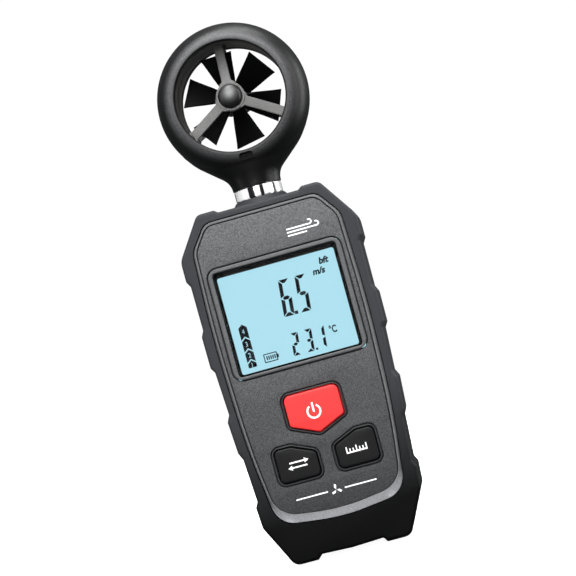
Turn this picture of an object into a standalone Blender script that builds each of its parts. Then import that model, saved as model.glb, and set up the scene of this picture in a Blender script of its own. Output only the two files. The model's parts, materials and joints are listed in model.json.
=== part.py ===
"""A handheld weather meter: a vane wheel in a ring-shaped head that swivels on a keypad case in a rubber boot.

The meter stands upright on the boot's two feet. Its display faces -Y, its width runs along X, and the head
turns about the Z axis. Sizes below are in millimetres, and every mesh is made in metres.
"""

import math

import bmesh
import bpy
from mathutils import Matrix, Vector

MM = 0.001
GAP = 0.3  # the room left between neighbouring pieces

# Head: the ring round the air passage, and the neck under it
HEAD_Z = 141.45  # the impeller's axis
RING_R = 23.55
RING_CREST_R = 18.3  # where the ring is deepest
RING_HALF_DEPTH = 10.0
LIP_R = 16.9  # the air passage at both faces
LIP_DEPTH = 8.5  # the lip's edge, from the middle plane
LINER_SEAT_R = 18.5
LINER_SEAT_DEPTH = 4.6
NECK_R = 7.6
NECK_Z = 113.7
NECK_TOP_Z = 128.2

# Vane guard and impeller
LINER_R = 18.2
HUB_R = 4.35
HUB_DEPTH = 8.5
SPOKE_WIDTH = 2.8
SPOKE_THICKNESS = 1.6
SPOKE_ANGLES = (90, 210, 330)
BLADE_COUNT = 6
BLADE_FIRST_ANGLE = 37
BLADE_TIP_R = 15.2
IMPELLER_HUB_R = 3.4
SHAFT_R = 0.7

# Swivel
COLLAR_R = 7.4
COLLAR_Z = (110.3, 113.4)
SLEEVE_R = 6.9
TUBE_R = 5.9
STOP_HALF_ANGLE = 84  # the stop sector's half width, which lets the head turn 90 degrees each way

# Case and boot, as depths along Y from the front (negative) to the back
KEY_FACE_Y = -14.2
FASCIA_Y = (-13.6, -12.4)
RIM_Y = -12.6
BODY_FRONT_Y = -10.9
SPLIT_Y = 0.15
BODY_BACK_Y = 11.3
BACK_Y = 14.2
BOOT_Y = (-12.8, 13.2)
WALL = 1.8
BODY_STEP = 1.0  # how far the case body is wider than its raised front and back

# Half outlines, right side, from the top middle down to the bottom middle: x, z and corner radius
BOOT_HALF = (
    (0, 108.2, 0),
    (12.7, 108.2, 0),
    (13.6, 109.1, 0),
    (19.1, 109.1, 2.5),
    (27.4, 96.8, 5),
    (27.4, 90.4, 0),
    (26.2, 88.7, 0),
    (26.1, 75.1, 0),
    (27.0, 73.2, 0),
    (26.8, 63.5, 0),
    (25.8, 61.9, 0),
    (25.1, 48.6, 0),
    (26.1, 46.5, 0),
    (25.5, 36.7, 0),
    (24.5, 34.5, 0),
    (23.6, 21.4, 0),
    (24.5, 19.6, 0),
    (24.0, 13.2, 2.5),
    (17.2, 0, 3),
    (10.6, 0, 0),
    (9.7, 1.4, 0),
    (0, 1.0, 0),
)
CASE_HALF = (
    (0, 105.9, 0),
    (17.4, 105.9, 4),
    (23.0, 98.3, 6),
    (23.85, 72, 400),
    (22.7, 38, 250),
    (19.5, 13.0, 7),
    (0, 10.6, 60),
)
PANEL_HALF = (
    (0, 104.7, 0),
    (16.9, 104.7, 4),
    (21.75, 98.0, 6),
    (22.45, 72, 400),
    (21.3, 38, 250),
    (18.8, 15.7, 7.5),
    (0, 13.1, 60),
)

# Display
BEZEL = (-20.6, 20.6, 57.5, 91.8)  # x from and to, z from and to
WINDOW = (-18.9, 18.9, 58.7, 90.3)
DISPLAY_SEAT = 1.1  # how far the clear window reaches past its opening

# Keys: outline corners x, z and radius, of the cap
POWER_KEY = ((-8.3, 49.4, 1.8), (8.3, 49.4, 1.8), (8.3, 40.4, 0.9), (0, 36.8, 1.2), (-8.3, 40.4, 0.9))
MODE_KEY = ((-15.2, 34.5, 1.5), (-10, 34.5, 0.8), (-3, 31.5, 1.4), (-3, 24.5, 1.5), (-15.2, 24.5, 1.5))
UNIT_KEY = tuple((-x, z, radius) for x, z, radius in reversed(MODE_KEY))
KEY_CLEARANCE = 0.35
KEY_FLANGE = 1.0
KEY_FLANGE_Y = (-10.3, -9.4)
PLUNGER_END_Y = -9.0
SWITCH_TOP_Y = -7.8
KEYS = (
    ("power", POWER_KEY, (0, 43.5)),
    ("mode", MODE_KEY, (-9, 29)),
    ("unit", UNIT_KEY, (9, 29)),
)

# Main board, batteries and battery door
BOARD_Y = (-4.6, -3.0)
CELL_R = 5.15
CELL_X = (-11.1, 0, 11.1)
CELL_Y = 7.2
CELL_Z = (30.5, 74.2)
DOOR = (-18.6, 18.6, 22.6, 80)
DOOR_Y = (12.8, 14.2)
DOOR_HINGE = (14.0, 22.9)  # y and z of the line the door tips about
BOX_INNER = (-17.2, 17.2, 25.2, 77.4)
BOX_FLOOR_Y = (0.5, 1.7)
CASE_SCREWS = ((-15, 101), (15, 101), (-12.5, 17.6), (12.5, 17.6))
BOARD_SCREWS = ((-16, 51), (16, 51))
HEAD_SCREWS = ((-12.5, 125.4), (12.5, 125.4), (0, 161.75))

# Colour, roughness and metallic value of each material
FINISHES = {
    "head_plastic": ((0.03, 0.03, 0.032), 0.38, 0),
    "guard_plastic": ((0.11, 0.11, 0.11), 0.45, 0),
    "vane_plastic": ((0.006, 0.006, 0.007), 0.5, 0),
    "chrome": ((0.85, 0.85, 0.85), 0.08, 1),
    "steel": ((0.55, 0.55, 0.56), 0.3, 1),
    "brass": ((0.72, 0.55, 0.28), 0.3, 1),
    "magnet": ((0.2, 0.2, 0.21), 0.35, 1),
    "boot_rubber": ((0.05, 0.052, 0.056), 0.6, 0),
    "case_plastic": ((0.13, 0.135, 0.14), 0.5, 0),
    "fascia_plastic": ((0.14, 0.145, 0.155), 0.55, 0),
    "clear_window": ((0.8, 0.9, 0.95), 0.05, 0),
    "lcd_glass": ((0.42, 0.73, 0.84), 0.2, 0),
    "light_guide": ((0.9, 0.95, 1), 0.3, 0),
    "inner_plastic": ((0.75, 0.75, 0.72), 0.5, 0),
    "elastomer": ((0.75, 0.55, 0.6), 0.6, 0),
    "circuit_board": ((0.02, 0.18, 0.07), 0.4, 0),
    "chip": ((0.02, 0.02, 0.02), 0.4, 0),
    "wire_sleeve": ((0.02, 0.02, 0.02), 0.5, 0),
    "red_key": ((0.9, 0.07, 0.07), 0.4, 0),
    "dark_key": ((0.02, 0.02, 0.021), 0.45, 0),
    "cell_jacket": ((0.1, 0.25, 0.5), 0.35, 0),
    "seal_rubber": ((0.015, 0.015, 0.015), 0.6, 0),
}


# ---------------------------------------------------------------- scene and objects


def clear_scene():
    for item in list(bpy.data.objects):
        bpy.data.objects.remove(item, do_unlink=True)


def new_collection(name):
    made = bpy.data.collections.new(name)
    bpy.context.scene.collection.children.link(made)
    return made


clear_scene()
METER = new_collection("weather_meter")
CUTTERS = new_collection("cutters")


def finish(name):
    """The Principled material of this name, made once."""
    found = bpy.data.materials.get(name)
    if found:
        return found
    colour, roughness, metallic = FINISHES[name]
    made = bpy.data.materials.new(name)
    made.use_nodes = True
    shader = made.node_tree.nodes["Principled BSDF"]
    shader.inputs["Base Color"].default_value = (*colour, 1)
    shader.inputs["Roughness"].default_value = roughness
    shader.inputs["Metallic"].default_value = metallic
    return made


def add_object(name, mesh, material=None):
    """A part of the meter, or a hidden cutter or helper where no material is named."""
    made = bpy.data.objects.new(name, mesh)
    if material:
        METER.objects.link(made)
        mesh.materials.append(finish(material))
    else:
        CUTTERS.objects.link(made)
        made.hide_render = True
        made.display_type = "WIRE"
    return made


def mesh_of(name, bm):
    bmesh.ops.recalc_face_normals(bm, faces=bm.faces)
    mesh = bpy.data.meshes.new(name)
    bm.to_mesh(mesh)
    bm.free()
    return mesh


def boolean(target, operation, *others):
    for other in others:
        step = target.modifiers.new(other.name, "BOOLEAN")
        step.operation = operation
        step.solver = "EXACT"
        step.object = other
    return target


def cut(target, *cutters):
    return boolean(target, "DIFFERENCE", *cutters)


def join(target, *helpers):
    return boolean(target, "UNION", *helpers)


# ---------------------------------------------------------------- outlines


def rounded(corners, steps=3):
    """The points of a closed outline whose corners, each (x, z, radius), are rounded."""
    points = []
    for index, (x, z, radius) in enumerate(corners):
        corner = Vector((x, z))
        if not radius:
            points.append(corner)
            continue
        back = (Vector(corners[index - 1][:2]) - corner).normalized()
        ahead = (Vector(corners[(index + 1) % len(corners)][:2]) - corner).normalized()
        half = back.angle(ahead) / 2
        centre = corner + (back + ahead).normalized() * radius / math.sin(half)
        start = corner + back * radius / math.tan(half) - centre
        end = corner + ahead * radius / math.tan(half) - centre
        turn = start.angle_signed(end)
        for step in range(steps + 1):
            points.append(centre + Matrix.Rotation(-turn * step / steps, 2) @ start)
    return points


def both_sides(half):
    """A closed outline from its right half, which runs from the top middle to the bottom middle."""
    left = [(-x, z, radius) for x, z, radius in reversed(half) if x > 0]
    return list(half) + left


def grown(outline, distance):
    """The outline, which runs clockwise, moved outwards by a distance, corner by corner."""
    moved = []
    for index, point in enumerate(outline):
        before = (point - outline[index - 1]).normalized()
        after = (outline[(index + 1) % len(outline)] - point).normalized()
        normals = Vector((-before.y, before.x)) + Vector((-after.y, after.x))
        direction = normals.normalized()
        share = direction.dot(Vector((-after.y, after.x)))
        moved.append(point + direction * distance / share)
    return moved


def rectangle(x0, x1, z0, z1, radius=0):
    corners = [(x0, z1, radius), (x1, z1, radius), (x1, z0, radius), (x0, z0, radius)]
    return rounded(corners)


def circle(x, z, radius, steps=24):
    angles = [-math.tau * step / steps for step in range(steps)]
    return [Vector((x + radius * math.cos(a), z + radius * math.sin(a))) for a in angles]


# ---------------------------------------------------------------- solids


def plate(name, loops, depth, material=None, facing="Y", bevel=0):
    """A flat piece: an outline and its holes, extruded along Y or Z over the depth, with its edges rounded."""
    curve = bpy.data.curves.new(name, "CURVE")
    curve.dimensions = "2D"
    curve.fill_mode = "BOTH"
    curve.extrude = (depth[1] - depth[0]) / 2 * MM - bevel * MM
    curve.bevel_depth = bevel * MM
    curve.bevel_resolution = 1
    curve.offset = -bevel * MM
    for loop in loops:
        spline = curve.splines.new("POLY")
        spline.points.add(len(loop) - 1)
        for spot, point in zip(spline.points, loop):
            spot.co = (point.x * MM, point.y * MM, 0, 1)
        spline.use_cyclic_u = True
    flat = bpy.data.objects.new(name + "_outline", curve)
    CUTTERS.objects.link(flat)
    middle = sum(depth) / 2 * MM
    flat.location = (0, middle, 0) if facing == "Y" else (0, 0, middle)
    flat.rotation_euler = (math.radians(90), 0, 0) if facing == "Y" else (0, 0, 0)
    bpy.context.view_layer.update()
    graph = bpy.context.evaluated_depsgraph_get()
    mesh = bpy.data.meshes.new_from_object(flat.evaluated_get(graph))
    bm = bmesh.new()
    bm.from_mesh(mesh)
    bmesh.ops.remove_doubles(bm, verts=bm.verts, dist=1e-6)
    bmesh.ops.recalc_face_normals(bm, faces=bm.faces)
    bm.to_mesh(mesh)
    bm.free()
    mesh.materials.clear()
    made = add_object(name, mesh, material)
    made.matrix_world = flat.matrix_world
    bpy.data.objects.remove(flat)
    bpy.data.curves.remove(curve)
    return made


def block(name, x, y, z, material=None, bevel=0):
    """A box between two x, two y and two z values."""
    bm = bmesh.new()
    bmesh.ops.create_cube(bm, size=1)
    size = Vector((x[1] - x[0], y[1] - y[0], z[1] - z[0])) * MM
    bmesh.ops.scale(bm, vec=size, verts=bm.verts)
    made = add_object(name, mesh_of(name, bm), material)
    made.location = Vector((sum(x), sum(y), sum(z))) / 2 * MM
    if bevel:
        edge = made.modifiers.new("rounding", "BEVEL")
        edge.width = bevel * MM
        edge.segments = 1
    return made


def turned(name, profile, centre, material=None, facing="Z", steps=32):
    """A turned piece: points (radius, height), running outwards, down the outer side and back in.

    A profile that starts and ends on the axis is left open there, and any other is closed into a ring.
    Heights run along +Z, or for facing "front" and "back" along -Y and +Y, from the centre.
    """
    mesh = bpy.data.meshes.new(name)
    points = [(radius * MM, 0, height * MM) for radius, height in profile]
    edges = [(index, index + 1) for index in range(len(points) - 1)]
    if profile[0][0] > 0:
        edges.append((len(points) - 1, 0))
    mesh.from_pydata(points, edges, [])
    made = add_object(name, mesh, material)
    made.location = Vector(centre) * MM
    tilt = {"Z": 0, "front": 90, "back": -90}[facing]
    made.rotation_euler = (math.radians(tilt), 0, 0)
    screw = made.modifiers.new("turning", "SCREW")
    screw.steps = steps
    screw.render_steps = steps
    screw.use_merge_vertices = True
    screw.merge_threshold = 1e-6
    return made


def pin(name, spot, y, radius, material=None, steps=16):
    """A round bar along Y at the spot (x, z)."""
    length = y[1] - y[0]
    profile = [(0, length), (radius, length), (radius, 0), (0, 0)]
    return turned(name, profile, (spot[0], y[0], spot[1]), material, "back", steps)


def screw_hole(name, spot, y, radii):
    """A cutter for a hole along Y at the spot: a shank's width from y[0], then a head's width from y[1] to y[2]."""
    shank, head = radii
    profile = [(0, y[2]), (head, y[2]), (head, y[1]), (shank, y[1]), (shank, y[0]), (0, y[0])]
    return turned(name, profile, (spot[0], 0, spot[1]), None, "back", steps=12)


def loft(name, sections, material=None):
    """A solid through closed sections of equal point counts, in world millimetres."""
    bm = bmesh.new()
    rings = [[bm.verts.new(Vector(point) * MM) for point in section] for section in sections]
    count = len(rings[0])
    for first, second in zip(rings, rings[1:]):
        for index in range(count):
            after = (index + 1) % count
            bm.faces.new((first[index], first[after], second[after], second[index]))
    bm.faces.new(rings[0])
    bm.faces.new(rings[-1])
    return add_object(name, mesh_of(name, bm), material)


def at_depth(outline, y):
    return [(point.x, y, point.y) for point in outline]


def shade_round(obj):
    obj.data.shade_smooth()
    obj.data.set_sharp_from_angle(angle=math.radians(35))


# ---------------------------------------------------------------- head


def neck_half_widths():
    """Points (half width, z) up the neck, from its round end to where it meets the ring."""
    corners = ((0, NECK_TOP_Z, 0), (19.6, NECK_TOP_Z, 0), (16.6, 124.1, 20), (NECK_R, 116.5, 5.5), (NECK_R, NECK_Z, 0))
    side = rounded(corners + ((0, NECK_Z, 0),), steps=4)
    return [(point.x, point.y) for point in side if point.x > 0]


def neck_half(name, side):
    """Half of the neck: half ellipses that widen from the round end into the ring."""
    sections = []
    for width, z in neck_half_widths():
        climb = (z - NECK_Z) / (NECK_TOP_Z - NECK_Z)
        depth = NECK_R + (RING_HALF_DEPTH - 0.1 - NECK_R) * climb * climb * (3 - 2 * climb)
        arc = [math.pi * step / 16 for step in range(17)]
        outside = [(width * math.cos(a), side * max(depth * math.sin(a), SPLIT_Y), z) for a in arc]
        sections.append(outside)
    return loft(name, sections)


def ring_half_profile():
    """The section of half the ring before its bore: (radius, distance from the middle plane), clockwise."""
    rise = RING_R - RING_CREST_R
    outer = [math.radians(angle) for angle in (75, 60, 45, 30, 15)]
    curve = [(RING_CREST_R + rise * math.cos(a), RING_HALF_DEPTH * math.sin(a)) for a in outer]
    stock_r, lip_run = LIP_R - 1.4, 0.35
    return [
        (stock_r, LIP_DEPTH - 1),
        (LIP_R - lip_run, LIP_DEPTH - 1),
        (LIP_R + lip_run, LIP_DEPTH + 1),
        (RING_CREST_R, RING_HALF_DEPTH),
        *curve,
        (RING_R, SPLIT_Y),
        (stock_r, SPLIT_Y),
    ]


def head_cutters():
    """What both halves of the head leave free: the air passage, the liner's seat, the board and the tube."""
    passage = turned(
        "cut_air_passage",
        [
            (0, 12),
            (LIP_R, 12),
            (LIP_R, LINER_SEAT_DEPTH),
            (LINER_SEAT_R, LINER_SEAT_DEPTH),
            (LINER_SEAT_R, -LINER_SEAT_DEPTH),
            (LIP_R, -LINER_SEAT_DEPTH),
            (LIP_R, -12),
            (0, -12),
        ],
        (0, 0, HEAD_Z),
        facing="back",
        steps=48,
    )
    bore, flange_r, top = TUBE_R + GAP, SLEEVE_R + GAP, 123.4
    profile = [(0, top), (bore, top), (bore, 118.3), (flange_r, 118.3), (flange_r, 116.2), (bore, 116.2), (bore, 112)]
    tube_seat = turned("cut_tube_seat", [*profile, (0, 112)], (0, 0, 0))
    return [passage, tube_seat]


def head_shell(name, side, shared):
    """Half of the head: ring and neck, split at the middle plane. The front half has the sensor slot."""
    facing = "front" if side < 0 else "back"
    shell = turned(name, ring_half_profile(), (0, 0, HEAD_Z), "head_plastic", facing, steps=48)
    join(shell, neck_half(name + "_neck", side))
    cut(shell, *shared)
    for index, spot in enumerate(HEAD_SCREWS):
        cut(shell, screw_hole(f"cut_{name}_screw_{index}", spot, (-5, 5.0, 12), (1.2, 1.8)))
    if side < 0:
        slot = [rectangle(-2.1, 2.1, 121.7, 123.8, 0.9)]
        cut(shell, plate("cut_sensor_slot", slot, (-12, -6)))
    return shell


def spoke(name, angle, side):
    """A flat bar from the hub's face out and back to the liner."""
    inner, outer = Vector((3.2, HUB_DEPTH)), Vector((17.4, LINER_SEAT_DEPTH - 2 * GAP))
    run = outer - inner
    bm = bmesh.new()
    bmesh.ops.create_cube(bm, size=1)
    bmesh.ops.scale(bm, vec=Vector((run.length, SPOKE_THICKNESS, SPOKE_WIDTH)) * MM, verts=bm.verts)
    slope = Matrix.Rotation(math.atan2(run.y, run.x) * side, 4, "Z")
    middle = (inner + outer) / 2 - Vector((0, SPOKE_THICKNESS / 2))
    lift = Matrix.Translation(Vector((middle.x, middle.y * side, 0)) * MM)
    turn = Matrix.Rotation(math.radians(-angle), 4, "Y")
    place = Matrix.Translation(Vector((0, 0, HEAD_Z)) * MM)
    bm.transform(place @ turn @ lift @ slope)
    return add_object(name, mesh_of(name, bm))


def guard(name, side):
    """Half of the vane cartridge: half the liner ring, three spokes and the hub with its bearing seat."""
    facing = "front" if side < 0 else "back"
    deep = LINER_SEAT_DEPTH - GAP
    liner = [(LIP_R, deep), (LINER_R, deep), (LINER_R, SPLIT_Y), (LIP_R, SPLIT_Y)]
    made = turned(name, liner, (0, 0, HEAD_Z), "guard_plastic", facing, steps=48)
    for angle in SPOKE_ANGLES:
        join(made, spoke(f"{name}_spoke_{angle}", angle, side))
    seat_r, seat_depth, hub_back = 2.0, 7.9, 5.5
    hub = [(0, HUB_DEPTH), (HUB_R, HUB_DEPTH), (HUB_R, hub_back), (0, hub_back)]
    join(made, turned(name + "_hub", hub, (0, 0, HEAD_Z), None, facing, steps=24))
    seat = [(0, seat_depth), (seat_r, seat_depth), (seat_r, hub_back - 1), (0, hub_back - 1)]
    cut(made, turned(name + "_bearing_seat", seat, (0, 0, HEAD_Z), None, facing, steps=16))
    if side > 0:
        chip_seat = block(name + "_sensor_seat", (-1.1, 1.1), (hub_back - 1, 7.2), (HEAD_Z - 4.3, HEAD_Z - 2.2))
        cut(made, chip_seat)
    return made


def hub_cap(name, facing):
    """The dome on a guard's hub."""
    base, height, radius = HUB_DEPTH + 0.2, 2.3, 3.75
    dome = [math.radians(angle) for angle in (90, 70, 50, 30, 10)]
    profile = [(radius * math.cos(a), base + height * math.sin(a)) for a in dome]
    profile[0] = (0, base + height)
    return turned(name, [*profile, (radius, base), (0, base)], (0, 0, HEAD_Z), "head_plastic", facing, steps=24)


def bearing(name, facing):
    profile = [(SHAFT_R + 0.1, 7.6), (1.7, 7.6), (1.7, 5.0), (SHAFT_R + 0.1, 5.0)]
    return turned(name, profile, (0, 0, HEAD_Z), "brass", facing, steps=16)


def head_screw(name, spot):
    head_y, tip_y = 5.3, -4.7
    profile = [(0, 1 + head_y), (1.5, 1 + head_y), (1.5, head_y), (0.85, head_y), (0.85, tip_y), (0, tip_y)]
    return turned(name, profile, (spot[0], 0, spot[1]), "steel", "back", steps=12)


def swivel_tube():
    """The tube that carries the head: a flange in the neck, a seal groove and a groove for the retaining ring."""
    profile = [
        (4.4, 118),
        (SLEEVE_R, 118),
        (SLEEVE_R, 116.5),
        (TUBE_R, 116.5),
        (TUBE_R, 108.8),
        (5.2, 108.8),
        (5.2, 107.2),
        (TUBE_R, 107.2),
        (TUBE_R, 102.4),
        (5.2, 102.4),
        (5.2, 101.0),
        (TUBE_R, 101.0),
        (TUBE_R, 100.2),
        (4.4, 100.2),
    ]
    return turned("swivel_tube", profile, (0, 0, 0), "steel")


def stop_ring():
    """The retaining ring under the collar, wider over a sector in front: the stop pin meets the sector's ends."""
    wide, narrow = 9.0, 7.4
    outline = []
    for step in range(48):
        angle = math.tau * (step + 0.5) / 48 - math.pi
        radius = wide if abs(math.degrees(angle)) < STOP_HALF_ANGLE else narrow
        outline.append(Vector((radius * math.sin(angle), -radius * math.cos(angle))))
    return plate("swivel_retaining_ring", [outline, circle(0, 0, 5.5)], (101.3, 102.1), "steel", facing="Z")


def swivel_collar():
    """The bright collar between case and head, its sleeve and flange held in the case, and the stop pin."""
    top, shoulder = COLLAR_Z[1], COLLAR_Z[0]
    bore, chamfer = TUBE_R + GAP, 0.25
    profile = [
        (bore, top),
        (COLLAR_R - chamfer, top),
        (COLLAR_R, top - chamfer),
        (COLLAR_R, shoulder),
        (SLEEVE_R, shoulder),
        (SLEEVE_R, 104.8),
        (9.0, 104.8),
        (9.0, 103.3),
        (bore, 103.3),
    ]
    collar = turned("swivel_collar", profile, (0, 0, 0), "chrome", steps=48)
    stop = [(0, 104), (0.6, 104), (0.6, 101.0), (0, 101.0)]
    return join(collar, turned("collar_stop_pin", stop, (0, 8.35, 0), steps=12))


def seal_ring():
    around = [-math.tau * step / 8 for step in range(8)]
    profile = [(5.7 + 0.42 * math.cos(a), 108 + 0.42 * math.sin(a)) for a in around]
    return turned("swivel_o_ring", profile, (0, 0, 0), "seal_rubber", steps=32)


def build_head():
    shared = head_cutters()
    board_y, lead_r = (-2.8, -1.8), 1.2
    parts = [
        head_shell("head_front_shell", -1, shared),
        head_shell("head_rear_shell", 1, shared),
        guard("front_guard", -1),
        guard("rear_guard", 1),
        hub_cap("front_hub_cap", "front"),
        hub_cap("rear_hub_cap", "back"),
        bearing("front_bearing", "front"),
        bearing("rear_bearing", "back"),
        block("hall_sensor", (-0.8, 0.8), (5.7, 6.9), (HEAD_Z - 4.0, HEAD_Z - 2.5), "chip"),
        block("sensor_board", (-5, 5), board_y, (118.7, 122.7), "circuit_board"),
        pin("thermistor", (0, 122.4), (-8.6, -3.1), 0.5, "chip", steps=8),
        turned("head_lead", [(0, 117.6), (lead_r, 117.6), (lead_r, 102), (0, 102)], (0, 0, 0), "wire_sleeve", steps=12),
        swivel_tube(),
        stop_ring(),
        seal_ring(),
    ]
    for spot, place in zip(HEAD_SCREWS, ("left", "right", "top")):
        parts.append(head_screw(f"head_screw_{place}", spot))
    return parts


# ---------------------------------------------------------------- impeller


def blade_sheet():
    """The six pitched blades as thin sheets: each runs from a steep root to a flatter tip."""
    root_r, root_half, root_deep = 2.6, math.radians(27), 3.4
    tip_half, tip_deep = math.radians(18), 2.3
    steps = 4
    bm = bmesh.new()
    for number in range(BLADE_COUNT):
        middle = math.radians(BLADE_FIRST_ANGLE + number * 360 / BLADE_COUNT)
        front, back = [], []
        for step in range(steps + 1):
            share = step / steps
            radius = root_r + (BLADE_TIP_R - root_r) * share
            half = tip_half + (root_half - tip_half) * (1 - share) ** 2
            deep = root_deep + (tip_deep - root_deep) * share
            for row, sign in ((front, 1), (back, -1)):
                angle = middle + sign * half
                spot = (radius * math.cos(angle), -sign * deep, HEAD_Z + radius * math.sin(angle))
                row.append(bm.verts.new(Vector(spot) * MM))
        for step in range(steps):
            bm.faces.new((front[step], front[step + 1], back[step + 1], back[step]))
    return bm


def build_impeller():
    bm = blade_sheet()
    mesh = bpy.data.meshes.new("impeller_blades")
    bm.to_mesh(mesh)
    bm.free()
    blades = add_object("impeller_blades", mesh)
    sheet = blades.modifiers.new("thickness", "SOLIDIFY")
    sheet.thickness = 0.7 * MM
    sheet.offset = 0
    hub_depth, bore, pocket_r, pocket_depth = 4.3, 0.95, 2.9, 2.4
    rim, chamfer = IMPELLER_HUB_R, 0.5
    profile = [(0, hub_depth), (rim - chamfer, hub_depth), (rim, hub_depth - chamfer), (rim, -hub_depth), (0, -hub_depth)]
    impeller = turned("impeller", profile, (0, 0, HEAD_Z), "vane_plastic", "front", steps=24)
    join(impeller, blades)
    clearance = [(0, 12), (bore, 12), (bore, -pocket_depth), (pocket_r, -pocket_depth), (pocket_r, -12), (0, -12)]
    cut(impeller, turned("cut_impeller_bore", clearance, (0, 0, HEAD_Z), None, "front", steps=24))
    magnet = [(1.2, -2.7), (2.6, -2.7), (2.6, -4.2), (1.2, -4.2)]
    return [
        impeller,
        pin("impeller_shaft", (0, HEAD_Z), (-7.4, 7.4), SHAFT_R, "steel", steps=12),
        turned("impeller_magnet", magnet, (0, 0, HEAD_Z), "magnet", "front", steps=16),
    ]


# ---------------------------------------------------------------- case


def case_outlines():
    case = rounded(both_sides(CASE_HALF))
    panel = rounded(both_sides(PANEL_HALF))
    return case, panel


def neck_socket():
    """The hole through the case's top wall and the boot for the collar's sleeve."""
    reach = SLEEVE_R + GAP
    return turned("cut_neck_socket", [(0, 120), (reach, 120), (reach, 100), (0, 100)], (0, 0, 0), steps=32)


def boot(socket):
    """The rubber boot: open in front and behind, with a lip over the case body's step at both faces."""
    case, _ = case_outlines()
    outline = rounded(both_sides(BOOT_HALF))
    made = plate("rubber_boot", [outline], BOOT_Y, "boot_rubber", bevel=0.8)
    boss = [(0, 110), (7.9, 110), (9.9, 108.3), (9.9, 106), (0, 106)]
    join(made, turned("boot_neck_boss", boss, (0, 0, 0), steps=32))
    body = grown(case, BODY_STEP + GAP)
    cut(made, plate("cut_boot_body", [body], (BODY_FRONT_Y - GAP, BODY_BACK_Y + GAP)))
    cut(made, plate("cut_boot_faces", [grown(case, GAP)], (-20, 20)))
    cut(made, socket)
    slope = block("cut_boot_slope", (-40, 40), (-10, 0), (-30, 0))
    slope.location = (0, BOOT_Y[0] * MM, 14 * MM)
    slope.data.transform(Matrix.Translation(Vector((0, -5, -15)) * MM))
    slope.rotation_euler = (math.radians(13), 0, 0)
    return cut(made, slope)


def screw_posts(y, radius):
    return [(f"post_{index}", spot, y, radius) for index, spot in enumerate(CASE_SCREWS)]


def front_case(socket):
    """The front half of the case: a bevelled rim round the fascia's seat, the display's seat and the key holes."""
    case, panel = case_outlines()
    rim_top = grown(panel, 0.55)
    body = grown(case, BODY_STEP)
    sections = [
        at_depth(body, -SPLIT_Y),
        at_depth(body, BODY_FRONT_Y),
        at_depth(case, BODY_FRONT_Y),
        at_depth(case, RIM_Y),
        at_depth(rim_top, FASCIA_Y[0]),
    ]
    made = loft("front_case", sections, "case_plastic")
    cut(made, plate("cut_fascia_seat", [grown(panel, GAP)], (-20, FASCIA_Y[1] + GAP)))
    hollow = plate("cut_front_hollow", [grown(body, -WALL)], (-10.6, 5))
    for label, spot, depth, radius in screw_posts((-11, 0), 2.4):
        cut(hollow, pin("front_" + label, spot, depth, radius))
    for index, spot in enumerate(BOARD_SCREWS):
        cut(hollow, pin(f"board_post_{index}", spot, (-11, BOARD_Y[0] - GAP), 1.9))
    cut(made, hollow, socket)
    x0, x1, z0, z1 = WINDOW
    seat = rectangle(x0 - DISPLAY_SEAT, x1 + DISPLAY_SEAT, z0 - DISPLAY_SEAT, z1 + DISPLAY_SEAT, 1)
    cut(made, plate("cut_window_seat", [seat], (-13, -10)))
    for key, corners, _ in KEYS:
        hole = grown(rounded(corners), KEY_CLEARANCE)
        cut(made, plate(f"cut_{key}_key_hole", [hole], (-13, -10)))
    for index, spot in enumerate(CASE_SCREWS):
        cut(made, pin(f"cut_front_screw_{index}", spot, (-8.8, 1), 1.1, steps=12))
    for index, spot in enumerate(BOARD_SCREWS):
        cut(made, pin(f"cut_board_screw_{index}", spot, (-9, 1), 0.9, steps=12))
    return made


def rear_case(socket):
    """The rear half of the case: a flat back with the battery compartment and the screw holes."""
    case, _ = case_outlines()
    body = grown(case, BODY_STEP)
    sections = [
        at_depth(body, SPLIT_Y),
        at_depth(body, BODY_BACK_Y),
        at_depth(case, BODY_BACK_Y),
        at_depth(case, BACK_Y - 0.8),
        at_depth(grown(case, -0.8), BACK_Y),
    ]
    made = loft("rear_case", sections, "case_plastic")
    hollow = plate("cut_rear_hollow", [grown(body, -WALL)], (-5, 12.4))
    for label, spot, depth, radius in screw_posts((0, 13), 2.4):
        cut(hollow, pin("rear_" + label, spot, depth, radius))
    x0, x1, z0, z1 = BOX_INNER
    box = block("battery_box", (x0 - 1.2, x1 + 1.2), (BOX_FLOOR_Y[0], 13), (z0 - 1.2, z1 + 1.2))
    cut(hollow, box)
    cut(made, hollow, socket)
    cut(made, block("cut_battery_room", (x0, x1), (BOX_FLOOR_Y[1], 20), (z0, z1)))
    dx0, dx1, dz0, dz1 = DOOR
    cut(made, block("cut_door_seat", (dx0 - GAP, dx1 + GAP), (DOOR_Y[0] - GAP, 20), (dz0 - GAP, dz1 + GAP)))
    for side in (-1, 1):
        hook_x = (side * 10 - 2.5, side * 10 + 2.5)
        hook_room = block(f"cut_hook_room_{side}", hook_x, (11.6, 13.4), (dz0 - 1.6, dz0 + 2.8))
        cut(made, hook_room)
    for index, spot in enumerate(CASE_SCREWS):
        cut(made, screw_hole(f"cut_rear_screw_{index}", spot, (-1, 10.7, 15), (1.3, 2.0)))
    return made


def fascia_panel():
    _, panel = case_outlines()
    bx0, bx1, bz0, bz1 = BEZEL
    holes = [grown(rounded(corners), KEY_CLEARANCE) for _, corners, _ in KEYS]
    frame = rectangle(bx0 - 0.35, bx1 + 0.35, bz0 - 0.35, bz1 + 0.35, 3.2)
    return plate("fascia_panel", [panel, frame, *holes], FASCIA_Y, "fascia_plastic")


def case_screw(name, spot):
    head_y, tip_y = 11.0, -8.0
    profile = [(0, 1.3 + head_y), (1.7, 1.3 + head_y), (1.7, head_y), (0.8, head_y), (0.8, tip_y), (0, tip_y)]
    return turned(name, profile, (spot[0], 0, spot[1]), "steel", "back", steps=12)


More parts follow.
